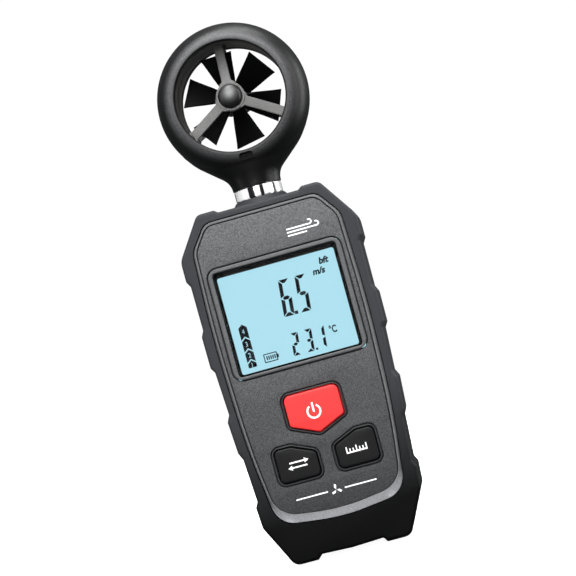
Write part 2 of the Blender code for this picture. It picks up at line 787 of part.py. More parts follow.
def board_screw(name, spot):
    head_y, tip_y = -2.7, -8.5
    profile = [(0, 1 + head_y), (1.5, 1 + head_y), (1.5, head_y), (0.6, head_y), (0.6, tip_y), (0, tip_y)]
    return turned(name, profile, (spot[0], 0, spot[1]), "steel", "back", steps=12)


def display_parts():
    x0, x1, z0, z1 = WINDOW
    grow = DISPLAY_SEAT - GAP
    lens = rectangle(x0 - grow, x1 + grow, z0 - grow, z1 + grow, 0.8)
    frame_outer, frame_inner = (-21.9, 21.9, 55.4, 93.6), (-20.7, 20.7, 56.6, 92.4)
    return [
        plate("display_bezel", [rectangle(*BEZEL, 2.9), rectangle(*WINDOW, 0.8)], (-13.9, -12.4), "case_plastic"),
        plate("display_window", [lens], (-12.1, -10.9), "clear_window"),
        block("lcd_panel", (-20.3, 20.3), (-10.3, -8.3), (57, 92), "lcd_glass"),
        block("lcd_backlight", (-20.3, 20.3), (-8.0, -5.6), (60, 92), "light_guide"),
        plate("lcd_holder", [rectangle(*frame_outer, 1), rectangle(*frame_inner)], (-10.3, -4.9), "inner_plastic"),
        block("lcd_contact_strip", (-18, 18), (-8.0, -4.9), (57.2, 59.2), "elastomer"),
    ]


def electronics():
    half = ((0, 97, 0), (20.5, 97, 1.5), (20.5, 29, 2), (18, 22, 1.5), (0, 22, 0))
    outline = rounded(both_sides(half))
    holes = [circle(x, z, 1.1, 12) for x, z in BOARD_SCREWS]
    lead_r = 1.2
    parts = [
        plate("main_board", [outline, *holes], BOARD_Y, "circuit_board"),
        block("microcontroller", (-5, 5), (-2.7, -1.5), (84, 94), "chip", bevel=0.3),
        block("lead_connector", (-3, 3), (-2.7, 1.4), (96.2, 98.8), "inner_plastic"),
        turned("case_lead", [(0, 101.7), (lead_r, 101.7), (lead_r, 99.1), (0, 99.1)], (0, 0, 0), "wire_sleeve", steps=12),
    ]
    for key, _, (x, z) in KEYS:
        body = block(f"{key}_switch", (x - 3, x + 3), (SWITCH_TOP_Y + 0.9, BOARD_Y[0] - GAP), (z - 3, z + 3), "chip")
        parts.append(join(body, pin(f"{key}_switch_button", (x, z), (SWITCH_TOP_Y, -6), 1.7)))
    for index, spot in enumerate(BOARD_SCREWS):
        parts.append(board_screw(f"board_screw_{('left', 'right')[index]}", spot))
    for index, spot in enumerate(CASE_SCREWS):
        place = ("upper_left", "upper_right", "lower_left", "lower_right")[index]
        parts.append(case_screw(f"case_screw_{place}", spot))
    return parts


# ---------------------------------------------------------------- batteries


def cell(name, x, up):
    """A size AAA cell, its raised contact at the top or at the bottom."""
    low, high = CELL_Z
    nub_r, nub = 1.9, 0.9
    profile = [(0, high + nub), (nub_r, high + nub), (nub_r, high), (CELL_R, high), (CELL_R, low), (0, low)]
    made = turned(name, profile, (x, CELL_Y, 0), "cell_jacket", steps=20)
    if not up:
        made.location.z = (low + high) * MM
        made.rotation_euler = (math.pi, 0, 0)
    return made


def spring(name, x, z0, z1):
    """A coil between a contact plate and a cell's flat end."""
    curve = bpy.data.curves.new(name, "CURVE")
    curve.dimensions = "3D"
    curve.bevel_depth = 0.3 * MM
    curve.bevel_resolution = 0
    curve.use_fill_caps = True
    turns, steps, radius = 2.5, 8, 2.4
    count = int(turns * steps) + 1
    spline = curve.splines.new("POLY")
    spline.points.add(count - 1)
    for index, spot in enumerate(spline.points):
        angle = math.tau * index / steps
        height = z0 + 0.35 + (z1 - z0 - 0.7) * index / (count - 1)
        spot.co = ((x + radius * math.cos(angle)) * MM, (CELL_Y + radius * math.sin(angle)) * MM, height * MM, 1)
    made = bpy.data.objects.new(name, curve)
    METER.objects.link(made)
    curve.materials.append(finish("steel"))
    return made


def battery_parts():
    low, high = CELL_Z
    y = (CELL_Y - 3.5, CELL_Y + 3.5)
    top, bottom = (76.5, 77.1), (25.5, 26.1)
    left, middle, right = CELL_X
    parts = [
        cell("battery_left", left, up=True),
        cell("battery_middle", middle, up=False),
        cell("battery_right", right, up=True),
        spring("battery_spring_left", left, bottom[1], low - 0.3),
        spring("battery_spring_middle", middle, high + 0.3, top[0]),
        spring("battery_spring_right", right, bottom[1], low - 0.3),
        block("upper_bridge_contact", (left - 4, middle + 4), y, top, "steel"),
        block("upper_end_contact", (right - 4, right + 4), y, top, "steel"),
        block("lower_end_contact", (left - 4, left + 4), y, bottom, "steel"),
        block("lower_bridge_contact", (middle - 4, right + 4), y, bottom, "steel"),
    ]
    return parts


def battery_door():
    """The cover: it tips out about hooks at its lower edge, once the tongue at its top is pressed."""
    x0, x1, z0, z1 = DOOR
    door = plate("battery_door", [rectangle(x0, x1, z0, z1)], DOOR_Y, "case_plastic")
    for side in (-1, 1):
        hook = block(f"door_hook_{side}", (side * 10 - 2, side * 10 + 2), (12.3, 13.2), (z0 - 0.9, z0 + 1))
        join(door, hook)
    for side in (-1, 1):
        slit = block(f"cut_tongue_slit_{side}", (side * 4.1 - 0.4, side * 4.1 + 0.4), (12, 16), (z1 - 8, z1 + 1))
        cut(door, slit)
    return door


# ---------------------------------------------------------------- keys


def key(name, corners, centre, material):
    """A key cap through the fascia, with a flange behind it and a plunger over its switch."""
    outline = rounded(corners)
    cap = plate(name, [outline], (KEY_FACE_Y, KEY_FLANGE_Y[1]), material, bevel=0.35)
    join(cap, plate(name + "_flange", [grown(outline, KEY_FLANGE)], KEY_FLANGE_Y))
    return join(cap, pin(name + "_plunger", centre, (-11, PLUNGER_END_Y), 1.6))


# ---------------------------------------------------------------- assembly


def axis_empty(name, place, parent=None):
    made = bpy.data.objects.new(name, None)
    METER.objects.link(made)
    made.location = Vector(place) * MM
    bpy.context.view_layer.update()
    if parent:
        attach([made], parent)
    return made


def attach(parts, parent):
    """Parents the pieces where they stand, so that they turn or slide with the empty on the joint's axis."""
    bpy.context.view_layer.update()
    for part in parts:
        part.parent = parent
        part.matrix_parent_inverse = parent.matrix_world.inverted()


def build():
    socket = neck_socket()
    parts = [boot(socket), front_case(socket), rear_case(socket), fascia_panel(), swivel_collar()]
    parts += display_parts() + electronics() + battery_parts()
    head_axis = axis_empty("head_swivel", (0, 0, NECK_Z))
    head = build_head()
    attach(head, head_axis)
    wheel_axis = axis_empty("impeller_spin", (0, 0, HEAD_Z), head_axis)
    wheel = build_impeller()
    attach(wheel, wheel_axis)
    keys = []
    for label, corners, centre in KEYS:
        colour = "red_key" if label == "power" else "dark_key"
        made = key(f"{label}_key", corners, centre, colour)
        attach([made], axis_empty(f"{label}_key_press", (centre[0], KEY_FACE_Y, centre[1])))
        keys.append(made)
    door = battery_door()
    attach([door], axis_empty("battery_door_hinge", (0, *DOOR_HINGE)))
    for part in parts + head + wheel + keys + [door]:
        if part.type == "MESH":
            shade_round(part)


build()
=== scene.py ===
"""The looks of the handheld weather meter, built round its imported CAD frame.

Lengths in this script are millimetres, turned into metres as each mesh is made. The meter stands on its feet
with its display facing -Y. Inner pieces, the rear case and the screws keep their CAD shapes; the other outer
pieces are made here.
"""

import json
import math

import bmesh
import bpy
from mathutils import Matrix, Vector


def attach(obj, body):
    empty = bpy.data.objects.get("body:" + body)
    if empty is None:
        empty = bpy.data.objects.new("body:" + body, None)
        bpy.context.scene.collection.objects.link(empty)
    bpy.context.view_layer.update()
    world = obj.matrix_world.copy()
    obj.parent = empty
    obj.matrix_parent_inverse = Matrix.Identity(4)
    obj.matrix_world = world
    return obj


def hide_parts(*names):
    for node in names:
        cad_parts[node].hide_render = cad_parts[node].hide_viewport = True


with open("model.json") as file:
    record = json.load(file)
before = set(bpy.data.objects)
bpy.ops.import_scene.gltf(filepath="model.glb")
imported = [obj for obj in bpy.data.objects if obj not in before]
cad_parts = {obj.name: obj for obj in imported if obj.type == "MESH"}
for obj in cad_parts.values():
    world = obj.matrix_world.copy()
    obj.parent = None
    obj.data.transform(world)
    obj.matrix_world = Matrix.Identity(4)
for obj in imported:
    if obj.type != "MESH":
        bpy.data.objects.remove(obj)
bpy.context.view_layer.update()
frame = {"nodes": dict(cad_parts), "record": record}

MM = 0.001

# Head
HEAD_Z = 141.45
RING_R = 23.5
CREST_R = 17.45
HALF_DEPTH = 9.95
LIP_R = 16.9
SEAT_R = 18.5
SEAT_DEPTH = 4.6
NECK_R = 7.6
NECK_Z = 113.7
HUB_DEPTH = 8.5
SPOKE_ANGLES = (90, 210, 330)

# Case depths along Y
BOOT_Y = (-12.8, 13.2)
BODY_FRONT_Y = -10.9
BODY_BACK_Y = 11.3
FASCIA_Y = (-13.6, -12.4)
KEY_FACE_Y = -14.17
INK = 0.03  # how thick printed marks are
MARK_GRIP = 0.1  # how far printed marks reach into the surface under them
SLOT_DEPTH = -8.7  # the floor of the sensor slot, along Y
LCD_Y = (-10.42, -10.36)
SEAM = 0.015  # half the gap between the head's two shells
SHARP_ANGLE = math.radians(35)
CHIP_SIDE = 1  # the guard that holds the Hall sensor faces +Y

# Half outlines, from the top middle to the bottom middle: x, z and corner radius
BOOT_HALF = (
    (0, 108.2, 0),
    (12.5, 108.2, 0.8),
    (13.7, 109.1, 0.8),
    (19.1, 109.1, 2.5),
    (27.4, 96.8, 5),
    (27.4, 90.4, 0.9),
    (26.4, 88.7, 0.9),
    (26.3, 75.1, 0.9),
    (27.2, 73.2, 0.9),
    (27.1, 63.5, 0.9),
    (26.1, 61.9, 0.9),
    (25.4, 48.6, 0.9),
    (26.4, 46.5, 0.9),
    (25.8, 36.7, 0.9),
    (24.8, 34.5, 0.9),
    (24.0, 21.4, 0.9),
    (24.9, 19.6, 0.9),
    (24.5, 13.2, 2.5),
    (17.9, 0, 3),
    (10.6, 0, 0.6),
    (9.7, 1.4, 0.6),
    (0, 1.0, 0),
)
CASE_HALF = (
    (0, 105.9, 0),
    (17.4, 105.9, 4),
    (23.0, 98.3, 6),
    (23.85, 72, 400),
    (22.7, 38, 250),
    (19.5, 13.0, 7),
    (0, 10.6, 60),
)
PANEL_HALF = (
    (0, 104.7, 0),
    (16.9, 104.7, 4),
    (21.75, 98.0, 6),
    (22.45, 72, 400),
    (21.3, 38, 250),
    (18.8, 15.7, 7.5),
    (0, 13.1, 60),
)
BEZEL = (-20.6, 20.6, 57.5, 91.8)
WINDOW = (-18.9, 18.9, 58.7, 90.3)
# The lit area sits low and to the left in the window, so that the black border shows wider at the top and
# right: real print widened by a painted shadow.
LIT_AREA = (-18.35, 18.0, 59.0, 89.0)
POWER_KEY = ((-8.3, 49.4, 1.8), (8.3, 49.4, 1.8), (8.3, 40.4, 0.9), (0, 36.8, 1.2), (-8.3, 40.4, 0.9))
MODE_KEY = ((-15.2, 34.5, 1.5), (-10, 34.5, 0.8), (-3, 31.5, 1.4), (-3, 24.5, 1.5), (-15.2, 24.5, 1.5))
UNIT_KEY = tuple((-x, z, radius) for x, z, radius in reversed(MODE_KEY))
KEYS = (("power_key", POWER_KEY), ("mode_key", MODE_KEY), ("unit_key", UNIT_KEY))
DOOR = (-18.6, 18.6, 22.6, 80)


# ---------------------------------------------------------------- materials


CLOUD_SCALE = 90  # the size of the uneven patches of gloss, per metre


def times(nodes, links, first, second):
    """A node that multiplies two values, and its result."""
    product = nodes.new("ShaderNodeMath")
    product.operation = "MULTIPLY"
    links.new(first, product.inputs[0])
    links.new(second, product.inputs[1])
    return product.outputs["Value"]


def painted_ring_light(nodes, links, place, centre_z, stops):
    """Painted highlights and shade by distance from an axis that runs front to back: stops are (distance in
    mm, tone).
    """
    flat = nodes.new("ShaderNodeVectorMath")
    flat.operation = "MULTIPLY_ADD"
    flat.inputs[1].default_value = (1, 0, 1)
    flat.inputs[2].default_value = (0, 0, -centre_z * MM)
    links.new(place, flat.inputs[0])
    reach = nodes.new("ShaderNodeVectorMath")
    reach.operation = "LENGTH"
    links.new(flat.outputs["Vector"], reach.inputs[0])
    near, far = stops[0][0], stops[-1][0]
    peak = max(tone for _, tone in stops)
    share = nodes.new("ShaderNodeMapRange")
    share.inputs["From Min"].default_value = near * MM
    share.inputs["From Max"].default_value = far * MM
    links.new(reach.outputs["Value"], share.inputs["Value"])
    ramp = nodes.new("ShaderNodeValToRGB")
    for index, (distance, tone) in enumerate(stops):
        stop = ramp.color_ramp.elements[index] if index < 2 else ramp.color_ramp.elements.new(1)
        stop.position = (distance - near) / (far - near)
        stop.color = (tone / peak, tone / peak, tone / peak, 1)
    links.new(share.outputs["Result"], ramp.inputs["Fac"])
    scale = nodes.new("ShaderNodeMath")
    scale.operation = "MULTIPLY"
    scale.inputs[1].default_value = peak
    links.new(ramp.outputs["Color"], scale.inputs[0])
    return scale.outputs["Value"]


def surface(
    name,
    colour,
    roughness,
    metallic=0,
    grain=0,
    size=0.3,
    mottle=0.06,
    painted_height_light=None,
    rings=None,
    rough_spread=0.08,
    **extra,
):
    """A moulded or metal surface: mottling, uneven gloss, fine grain, and painted light and shade by height
    and by radius.
    """
    made = bpy.data.materials.new(name)
    made.use_nodes = True
    nodes, links = made.node_tree.nodes, made.node_tree.links
    shader = nodes["Principled BSDF"]
    shader.inputs["Metallic"].default_value = metallic
    for socket, value in extra.items():
        shader.inputs[socket.replace("_", " ")].default_value = value
    place = nodes.new("ShaderNodeTexCoord")
    noise = nodes.new("ShaderNodeTexNoise")
    noise.inputs["Scale"].default_value = 1 / (size * MM)
    noise.inputs["Detail"].default_value = 3
    links.new(place.outputs["Object"], noise.inputs["Vector"])
    cloud = nodes.new("ShaderNodeTexNoise")
    cloud.inputs["Scale"].default_value = CLOUD_SCALE
    cloud.inputs["Detail"].default_value = 2
    links.new(place.outputs["Object"], cloud.inputs["Vector"])
    tone = nodes.new("ShaderNodeMapRange")
    tone.inputs["From Min"].default_value = 0.3
    tone.inputs["From Max"].default_value = 0.7
    tone.inputs["To Min"].default_value = 1 - mottle
    tone.inputs["To Max"].default_value = 1 + mottle
    links.new(noise.outputs["Fac"], tone.inputs["Value"])
    shade = tone.outputs["Result"]
    # Painted light and shade: the colour is scaled from one tone low down to another high up.
    if painted_height_light:
        (low, low_tone), (high, high_tone) = painted_height_light
        split = nodes.new("ShaderNodeSeparateXYZ")
        links.new(place.outputs["Object"], split.inputs["Vector"])
        climb = nodes.new("ShaderNodeMapRange")
        climb.inputs["From Min"].default_value = low * MM
        climb.inputs["From Max"].default_value = high * MM
        climb.inputs["To Min"].default_value = low_tone
        climb.inputs["To Max"].default_value = high_tone
        links.new(split.outputs["Z"], climb.inputs["Value"])
        shade = times(nodes, links, shade, climb.outputs["Result"])
    # Painted highlights and shade in rings round an axis that runs front to back.
    if rings:
        shade = times(nodes, links, shade, painted_ring_light(nodes, links, place.outputs["Object"], *rings))
    tint = nodes.new("ShaderNodeVectorMath")
    tint.operation = "SCALE"
    tint.inputs[0].default_value = colour
    links.new(shade, tint.inputs["Scale"])
    links.new(tint.outputs["Vector"], shader.inputs["Base Color"])
    gloss = nodes.new("ShaderNodeMapRange")
    gloss.inputs["To Min"].default_value = max(roughness - rough_spread, 0)
    gloss.inputs["To Max"].default_value = roughness + rough_spread
    links.new(cloud.outputs["Fac"], gloss.inputs["Value"])
    links.new(gloss.outputs["Result"], shader.inputs["Roughness"])
    if grain:
        bump = nodes.new("ShaderNodeBump")
        bump.inputs["Strength"].default_value = grain
        bump.inputs["Distance"].default_value = size * MM * 0.5
        links.new(noise.outputs["Fac"], bump.inputs["Height"])
        links.new(bump.outputs["Normal"], shader.inputs["Normal"])
    return made


def chrome_with_painted_reflections():
    """Bright plating with painted reflections: a near-white base and dark upright bands round it stand in
    for the studio that polished tube reflects.
    """
    made = surface("collar_chrome_painted_reflections", (0.95, 0.95, 0.95), 0.2, metallic=0.2, mottle=0.01, rough_spread=0.03)
    nodes, links = made.node_tree.nodes, made.node_tree.links
    shader = nodes["Principled BSDF"]
    place = nodes.new("ShaderNodeTexCoord")
    split = nodes.new("ShaderNodeSeparateXYZ")
    links.new(place.outputs["Object"], split.inputs["Vector"])
    turn = nodes.new("ShaderNodeMath")
    turn.operation = "ARCTAN2"
    links.new(split.outputs["X"], turn.inputs[0])
    flip = nodes.new("ShaderNodeMath")
    flip.operation = "MULTIPLY"
    flip.inputs[1].default_value = -1
    links.new(split.outputs["Y"], flip.inputs[0])
    links.new(flip.outputs["Value"], turn.inputs[1])
    share = nodes.new("ShaderNodeMapRange")
    share.inputs["From Min"].default_value = -math.pi
    share.inputs["From Max"].default_value = math.pi
    links.new(turn.outputs["Value"], share.inputs["Value"])
    ramp = nodes.new("ShaderNodeValToRGB")
    bright, dark = (0.95, 0.95, 0.95, 1), (0.012, 0.012, 0.014, 1)
    # Painted reflections: the middle angle and half width of each dark band, in degrees.
    bands = ((-160, 8), (-118, 10), (-75, 5), (-13, 7), (13, 4), (46, 3), (100, 9), (143, 6))
    stops = []
    for middle, half in bands:
        for angle, colour in ((middle - half - 1, bright), (middle - half, dark), (middle + half, dark)):
            stops.append((angle, colour))
        stops.append((middle + half + 1, bright))
    for index, (angle, colour) in enumerate(stops):
        stop = ramp.color_ramp.elements[index] if index < 2 else ramp.color_ramp.elements.new(1)
        stop.position = (angle + 180) / 360
        stop.color = colour
    links.new(share.outputs["Result"], ramp.inputs["Fac"])
    links.new(ramp.outputs["Color"], shader.inputs["Base Color"])
    return made


def painted_glow(name, colour, strength):
    """A surface with a painted glow of even colour, with a slight unevenness across it."""
    made = surface(name, [share * 0.03 for share in colour], 0.35, mottle=0.02, Specular_IOR_Level=0.05)
    shader = made.node_tree.nodes["Principled BSDF"]
    shader.inputs["Emission Color"].default_value = (*colour, 1)
    shader.inputs["Emission Strength"].default_value = strength
    return made


def glass(name):
    """A clear moulding."""
    return surface(name, (1, 1, 1), 0, mottle=0.004, rough_spread=0, Transmission_Weight=1, IOR=1.15)


# Painted light by distance in mm, the ring's from the vane axis and the dome's from just above it: the ring
# has a painted shadow at the lip, a painted highlight over the crest and painted shade further out, and the
# dome has a painted highlight in its middle.
RING_PAINTED_LIGHT = (
    (16.8, 0.05),
    (17.2, 0.05),
    (17.4, 5),
    (18.6, 7.5),
    (19.6, 3.2),
    (20.6, 0.8),
    (23.5, 0.6),
    (25, 0.8),
)
CAP_PAINTED_LIGHT = ((0, 16), (1, 13), (2.1, 4.5), (3.1, 0.9), (4.5, 0.3))
LOOKS = {
    # Painted light: the head is much darker low down and lighter high up, and carries the ring's painted
    # highlights and shadow.
    "head_plastic": surface(
        "head_black",
        (0.014, 0.014, 0.0145),
        0.42,
        grain=0.3,
        mottle=0.5,
        painted_height_light=((114, 0.15), (165, 1.3)),
        rings=(HEAD_Z, RING_PAINTED_LIGHT),
        Specular_IOR_Level=0.3,
    ),
    # Painted highlight: the dome is bright in its middle and dark at its edge.
    "cap_plastic": surface(
        "cap_black", (0.013, 0.013, 0.013), 0.36, mottle=0.05, rings=(HEAD_Z + 0.8, CAP_PAINTED_LIGHT)
    ),
    # Painted light: the guard is painted about twice as bright low down and much darker at the top.
    "guard_plastic": surface(
        "guard_grey",
        (0.15, 0.148, 0.146),
        0.5,
        grain=0.5,
        size=0.25,
        mottle=0.25,
        painted_height_light=((129, 2.0), (153, 0.36)),
    ),
    "liner_plastic": surface("liner_grey", (0.085, 0.077, 0.069), 0.4),
    "vane_plastic": surface(
        "vane_black", (0.002, 0.002, 0.0024), 0.5, mottle=0.1, Specular_IOR_Level=0.15
    ),
    "chrome": chrome_with_painted_reflections(),
    "steel": surface("screw_steel", (0.55, 0.55, 0.56), 0.3, metallic=1, grain=0.1, size=0.15),
    "brass": surface("bush_brass", (0.72, 0.55, 0.28), 0.3, metallic=1, grain=0.1),
    "magnet": surface("magnet_plating", (0.2, 0.2, 0.21), 0.35, metallic=1),
    # Painted shade: the boot darkens to almost black towards its feet.
    "boot_rubber": surface(
        "boot_rubber",
        (0.039, 0.041, 0.045),
        0.55,
        grain=0.25,
        size=0.2,
        painted_height_light=((12, 0.02), (48, 1)),
        Specular_IOR_Level=0.18,
    ),
    "case_plastic": surface("case_black", (0.014, 0.0145, 0.016), 0.5, grain=0.2, size=0.22),
    # Painted highlight: the rim grows about four times brighter towards its bottom chamfer.
    "rim_plastic": surface(
        "rim_grey", (0.15, 0.152, 0.158), 0.5, grain=0.5, mottle=0.25, painted_height_light=((12, 4.4), (20, 0.9))
    ),
    # Painted light: the fascia is lighter towards the top and darker towards the bottom.
    "fascia_plastic": surface(
        "fascia_grain",
        (0.1, 0.102, 0.107),
        0.55,
        grain=1,
        size=0.28,
        mottle=0.6,
        painted_height_light=((12, 0.37), (106, 1.08)),
    ),
    "clear_window": glass("window_clear"),
    "frame_plastic": surface("frame_grey", (0.1, 0.102, 0.105), 0.5, grain=0.6, size=0.3, mottle=0.4),
    "mask_black": surface("mask_black", (0.003, 0.003, 0.003), 0.5, Specular_IOR_Level=0.1),
    # The display's pale blue, also used for the numbers left clear, is a painted glow.
    "lcd_glass": painted_glow("lcd_blue", (0.40, 0.71, 0.82), 1.02),
    "lcd_ink": surface("lcd_ink", (0.006, 0.008, 0.011), 0.5, Specular_IOR_Level=0.05),
    "light_guide": surface("light_guide", (0.9, 0.95, 1), 0.3),
    "inner_plastic": surface("inner_white", (0.75, 0.75, 0.72), 0.5),
    "elastomer": surface("contact_strip", (0.75, 0.55, 0.6), 0.6, mottle=0.3),
    "circuit_board": surface("board_green", (0.02, 0.18, 0.07), 0.4, mottle=0.3, size=1.5),
    "chip": surface("chip_black", (0.02, 0.02, 0.02), 0.4, grain=0.2),
    "wire_sleeve": surface("wire_black", (0.02, 0.02, 0.02), 0.5),
    "red_key": surface("key_red", (0.95, 0.035, 0.035), 0.5, grain=0.08, mottle=0.03),
    "dark_key": surface("key_black", (0.005, 0.005, 0.0055), 0.5, grain=0.15, Specular_IOR_Level=0.3),
    "surround": surface("surround_black", (0.035, 0.036, 0.038), 0.4),
    # Painted glow: the white print glows a little.
    "white_ink": surface(
        "white_ink",
        (0.95, 0.95, 0.95),
        0.6,
        mottle=0.02,
        Emission_Color=(1, 1, 1, 1),
        Emission_Strength=0.3,
    ),
    "cell_jacket": surface("cell_blue", (0.1, 0.25, 0.5), 0.35),
    "seal_rubber": surface("seal_black", (0.015, 0.015, 0.015), 0.6),
}


# ---------------------------------------------------------------- pieces


def dress(piece, body, slot, look, *replaced):
    """Gives a new piece its look and makes it ride on its body; its slot argument is not used."""
    piece.data.materials.clear()
    piece.data.materials.append(LOOKS[look])
    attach(piece, body)
    if replaced:
        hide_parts(*replaced)
    return piece


def dress_frame():
    """The CAD nodes that stay visible take a look for their record slot."""
    slots = {part["node"]: part["material_slot"] for part in frame["record"]["subparts"]}
    for node, item in frame["nodes"].items():
        item.data.materials.clear()
        item.data.materials.append(LOOKS[slots[node]])


def add_object(name, mesh):
    made = bpy.data.objects.new(name, mesh)
    bpy.context.scene.collection.objects.link(made)
    return made


def settle(piece):
    """Applies the piece's modifiers and transform, and shades it smooth except at sharp edges."""
    bpy.context.view_layer.update()
    graph = bpy.context.evaluated_depsgraph_get()
    mesh = bpy.data.meshes.new_from_object(piece.evaluated_get(graph))
    mesh.transform(piece.matrix_world)
    name = piece.name
    bpy.data.objects.remove(piece)
    made = add_object(name, mesh)
    mesh.shade_smooth()
    mesh.set_sharp_from_angle(angle=SHARP_ANGLE)
    return made


def combine(target, operation, others):
    """One Boolean after another, applied, with the helpers removed."""
    for other in others:
        step = target.modifiers.new("step", "BOOLEAN")
        step.operation = operation
        step.solver = "EXACT"
        step.object = other
        target = settle(target)
        bpy.data.objects.remove(other)
    return target


def cut(target, *others):
    return combine(target, "DIFFERENCE", others)


def join(target, *others):
    return combine(target, "UNION", others)


def merge(first, *others):
    """Several finished shapes as one piece."""
    bm = bmesh.new()
    for item in (first, *others):
        bm.from_mesh(item.data)
    bm.to_mesh(first.data)
    bm.free()
    for item in others:
        bpy.data.objects.remove(item)
    return first


def mesh_of(name, bm):
    bmesh.ops.recalc_face_normals(bm, faces=bm.faces)
    mesh = bpy.data.meshes.new(name)
    bm.to_mesh(mesh)
    bm.free()
    return mesh


# ---------------------------------------------------------------- outlines


def rounded(corners, steps=7):
    """The points of a closed outline whose corners, each (x, z, radius), are rounded."""
    points = []
    for index, (x, z, radius) in enumerate(corners):
        corner = Vector((x, z))
        if not radius:
            points.append(corner)
            continue
        back = (Vector(corners[index - 1][:2]) - corner).normalized()
        ahead = (Vector(corners[(index + 1) % len(corners)][:2]) - corner).normalized()
        half = back.angle(ahead) / 2
        centre = corner + (back + ahead).normalized() * radius / math.sin(half)
        start = corner + back * radius / math.tan(half) - centre
        end = corner + ahead * radius / math.tan(half) - centre
        turn = start.angle_signed(end)
        for step in range(steps + 1):
            points.append(centre + Matrix.Rotation(-turn * step / steps, 2) @ start)
    return points


def both_sides(half):
    left = [(-x, z, radius) for x, z, radius in reversed(half) if x > 0]
    return list(half) + left


def grown(outline, distance):
    """The clockwise outline moved outwards by a distance, corner by corner."""
    moved = []
    for index, point in enumerate(outline):
        before = (point - outline[index - 1]).normalized()
        after = (outline[(index + 1) % len(outline)] - point).normalized()
        direction = (Vector((-before.y, before.x)) + Vector((-after.y, after.x))).normalized()
        share = direction.dot(Vector((-after.y, after.x)))
        moved.append(point + direction * distance / share)
    return moved


def rectangle(x0, x1, z0, z1, radius=0):
    return rounded([(x0, z1, radius), (x1, z1, radius), (x1, z0, radius), (x0, z0, radius)])


def at_depth(outline, y):
    return [(point.x, y, point.y) for point in outline]


# ---------------------------------------------------------------- solids


def plate(name, loops, depth, bevel=0, rounds=3):
    """Outlines and their holes as a slab over the depth along Y, with its edges rounded."""
    curve = bpy.data.curves.new(name, "CURVE")
    curve.dimensions = "2D"
    curve.fill_mode = "BOTH"
    curve.extrude = ((depth[1] - depth[0]) / 2 - bevel) * MM
    curve.bevel_depth = bevel * MM
    curve.bevel_resolution = rounds
    curve.offset = -bevel * MM
    for loop in loops:
        spline = curve.splines.new("POLY")
        spline.points.add(len(loop) - 1)
        for spot, point in zip(spline.points, loop):
            spot.co = (point.x * MM, point.y * MM, 0, 1)
        spline.use_cyclic_u = True
    made = add_object(name, curve)
    made.location.y = sum(depth) / 2 * MM
    made.rotation_euler.x = math.radians(90)
    made = settle(made)
    bm = bmesh.new()
    bm.from_mesh(made.data)
    bmesh.ops.remove_doubles(bm, verts=bm.verts, dist=1e-7)
    bmesh.ops.recalc_face_normals(bm, faces=bm.faces)
    bm.to_mesh(made.data)
    bm.free()
    made.data.shade_smooth()
    made.data.set_sharp_from_angle(angle=SHARP_ANGLE)
    return made


def block(name, x, y, z, bevel=0):
    bm = bmesh.new()
    bmesh.ops.create_cube(bm, size=1)
    size = Vector((x[1] - x[0], y[1] - y[0], z[1] - z[0])) * MM
    bmesh.ops.scale(bm, vec=size, verts=bm.verts)
    bmesh.ops.translate(bm, vec=Vector((sum(x), sum(y), sum(z))) / 2 * MM, verts=bm.verts)
    made = add_object(name, mesh_of(name, bm))
    if bevel:
        edge = made.modifiers.new("rounding", "BEVEL")
        edge.width = bevel * MM
        edge.segments = 3
        made = settle(made)
    return made


def turned(name, profile, centre, facing="Z", steps=96):
    """A turned piece from (radius, height) points: heights run along +Z, or -Y for front and +Y for back."""
    mesh = bpy.data.meshes.new(name)
    points = [(radius * MM, 0, height * MM) for radius, height in profile]
    edges = [(index, index + 1) for index in range(len(points) - 1)]
    if profile[0][0] > 0:
        edges.append((len(points) - 1, 0))
    mesh.from_pydata(points, edges, [])
    made = add_object(name, mesh)
    made.location = Vector(centre) * MM
    made.rotation_euler.x = math.radians({"Z": 0, "front": 90, "back": -90}[facing])
    screw = made.modifiers.new("turning", "SCREW")
    screw.steps = steps
    screw.render_steps = steps
    screw.use_merge_vertices = True
    screw.merge_threshold = 1e-6
    return settle(made)


def loft(name, sections):
    """A solid through closed sections of equal point counts."""
    bm = bmesh.new()
    rings = [[bm.verts.new(Vector(point) * MM) for point in section] for section in sections]
    count = len(rings[0])
    for first, second in zip(rings, rings[1:]):
        for index in range(count):
            after = (index + 1) % count
            bm.faces.new((first[index], first[after], second[after], second[index]))
    bm.faces.new(rings[0])
    bm.faces.new(rings[-1])
    return settle(add_object(name, mesh_of(name, bm)))


# ---------------------------------------------------------------- head


def ring():
    """The whole ring, its faces curving over a crest into the air passage."""
    lip_depth = HALF_DEPTH - 0.2
    inner = [(LIP_R - 1, lip_depth - 0.8), (LIP_R, lip_depth), (CREST_R, HALF_DEPTH)]
    outer = []
    for step in range(1, 13):
        a = math.radians(90 - 90 * step / 12)
        outer.append((CREST_R + (RING_R - CREST_R) * math.cos(a), HALF_DEPTH * math.sin(a)))
    front = [*inner, *outer]
    back = [(radius, -depth) for radius, depth in reversed(front[:-1])]
    stock = [(LIP_R - 2, 1 - lip_depth), (LIP_R - 2, lip_depth - 1)]
    return turned("head", [*front, *back, *stock], (0, 0, HEAD_Z), "back")


def neck():
    """Ellipses that widen from the round end of the neck into the ring."""
    top = 128.2
    low = NECK_Z - 1
    corners = (
        (0, top, 0),
        (19.6, top, 0),
        (16.6, 124.1, 20),
        (NECK_R, 116.5, 5.5),
        (NECK_R, low, 0),
        (0, low, 0),
    )
    side = [(point.x, point.y) for point in rounded(corners, steps=10) if point.x > 0]
    sections = []
    for width, z in side:
        climb = min(max((z - NECK_Z) / (top - NECK_Z), 0), 1)
        depth = NECK_R + (HALF_DEPTH - 0.2 - NECK_R) * climb * climb * (3 - 2 * climb)
        arc = [math.tau * step / 64 for step in range(64)]
        sections.append([(width * math.cos(a), depth * math.sin(a), z) for a in arc])
    return loft("neck", sections)


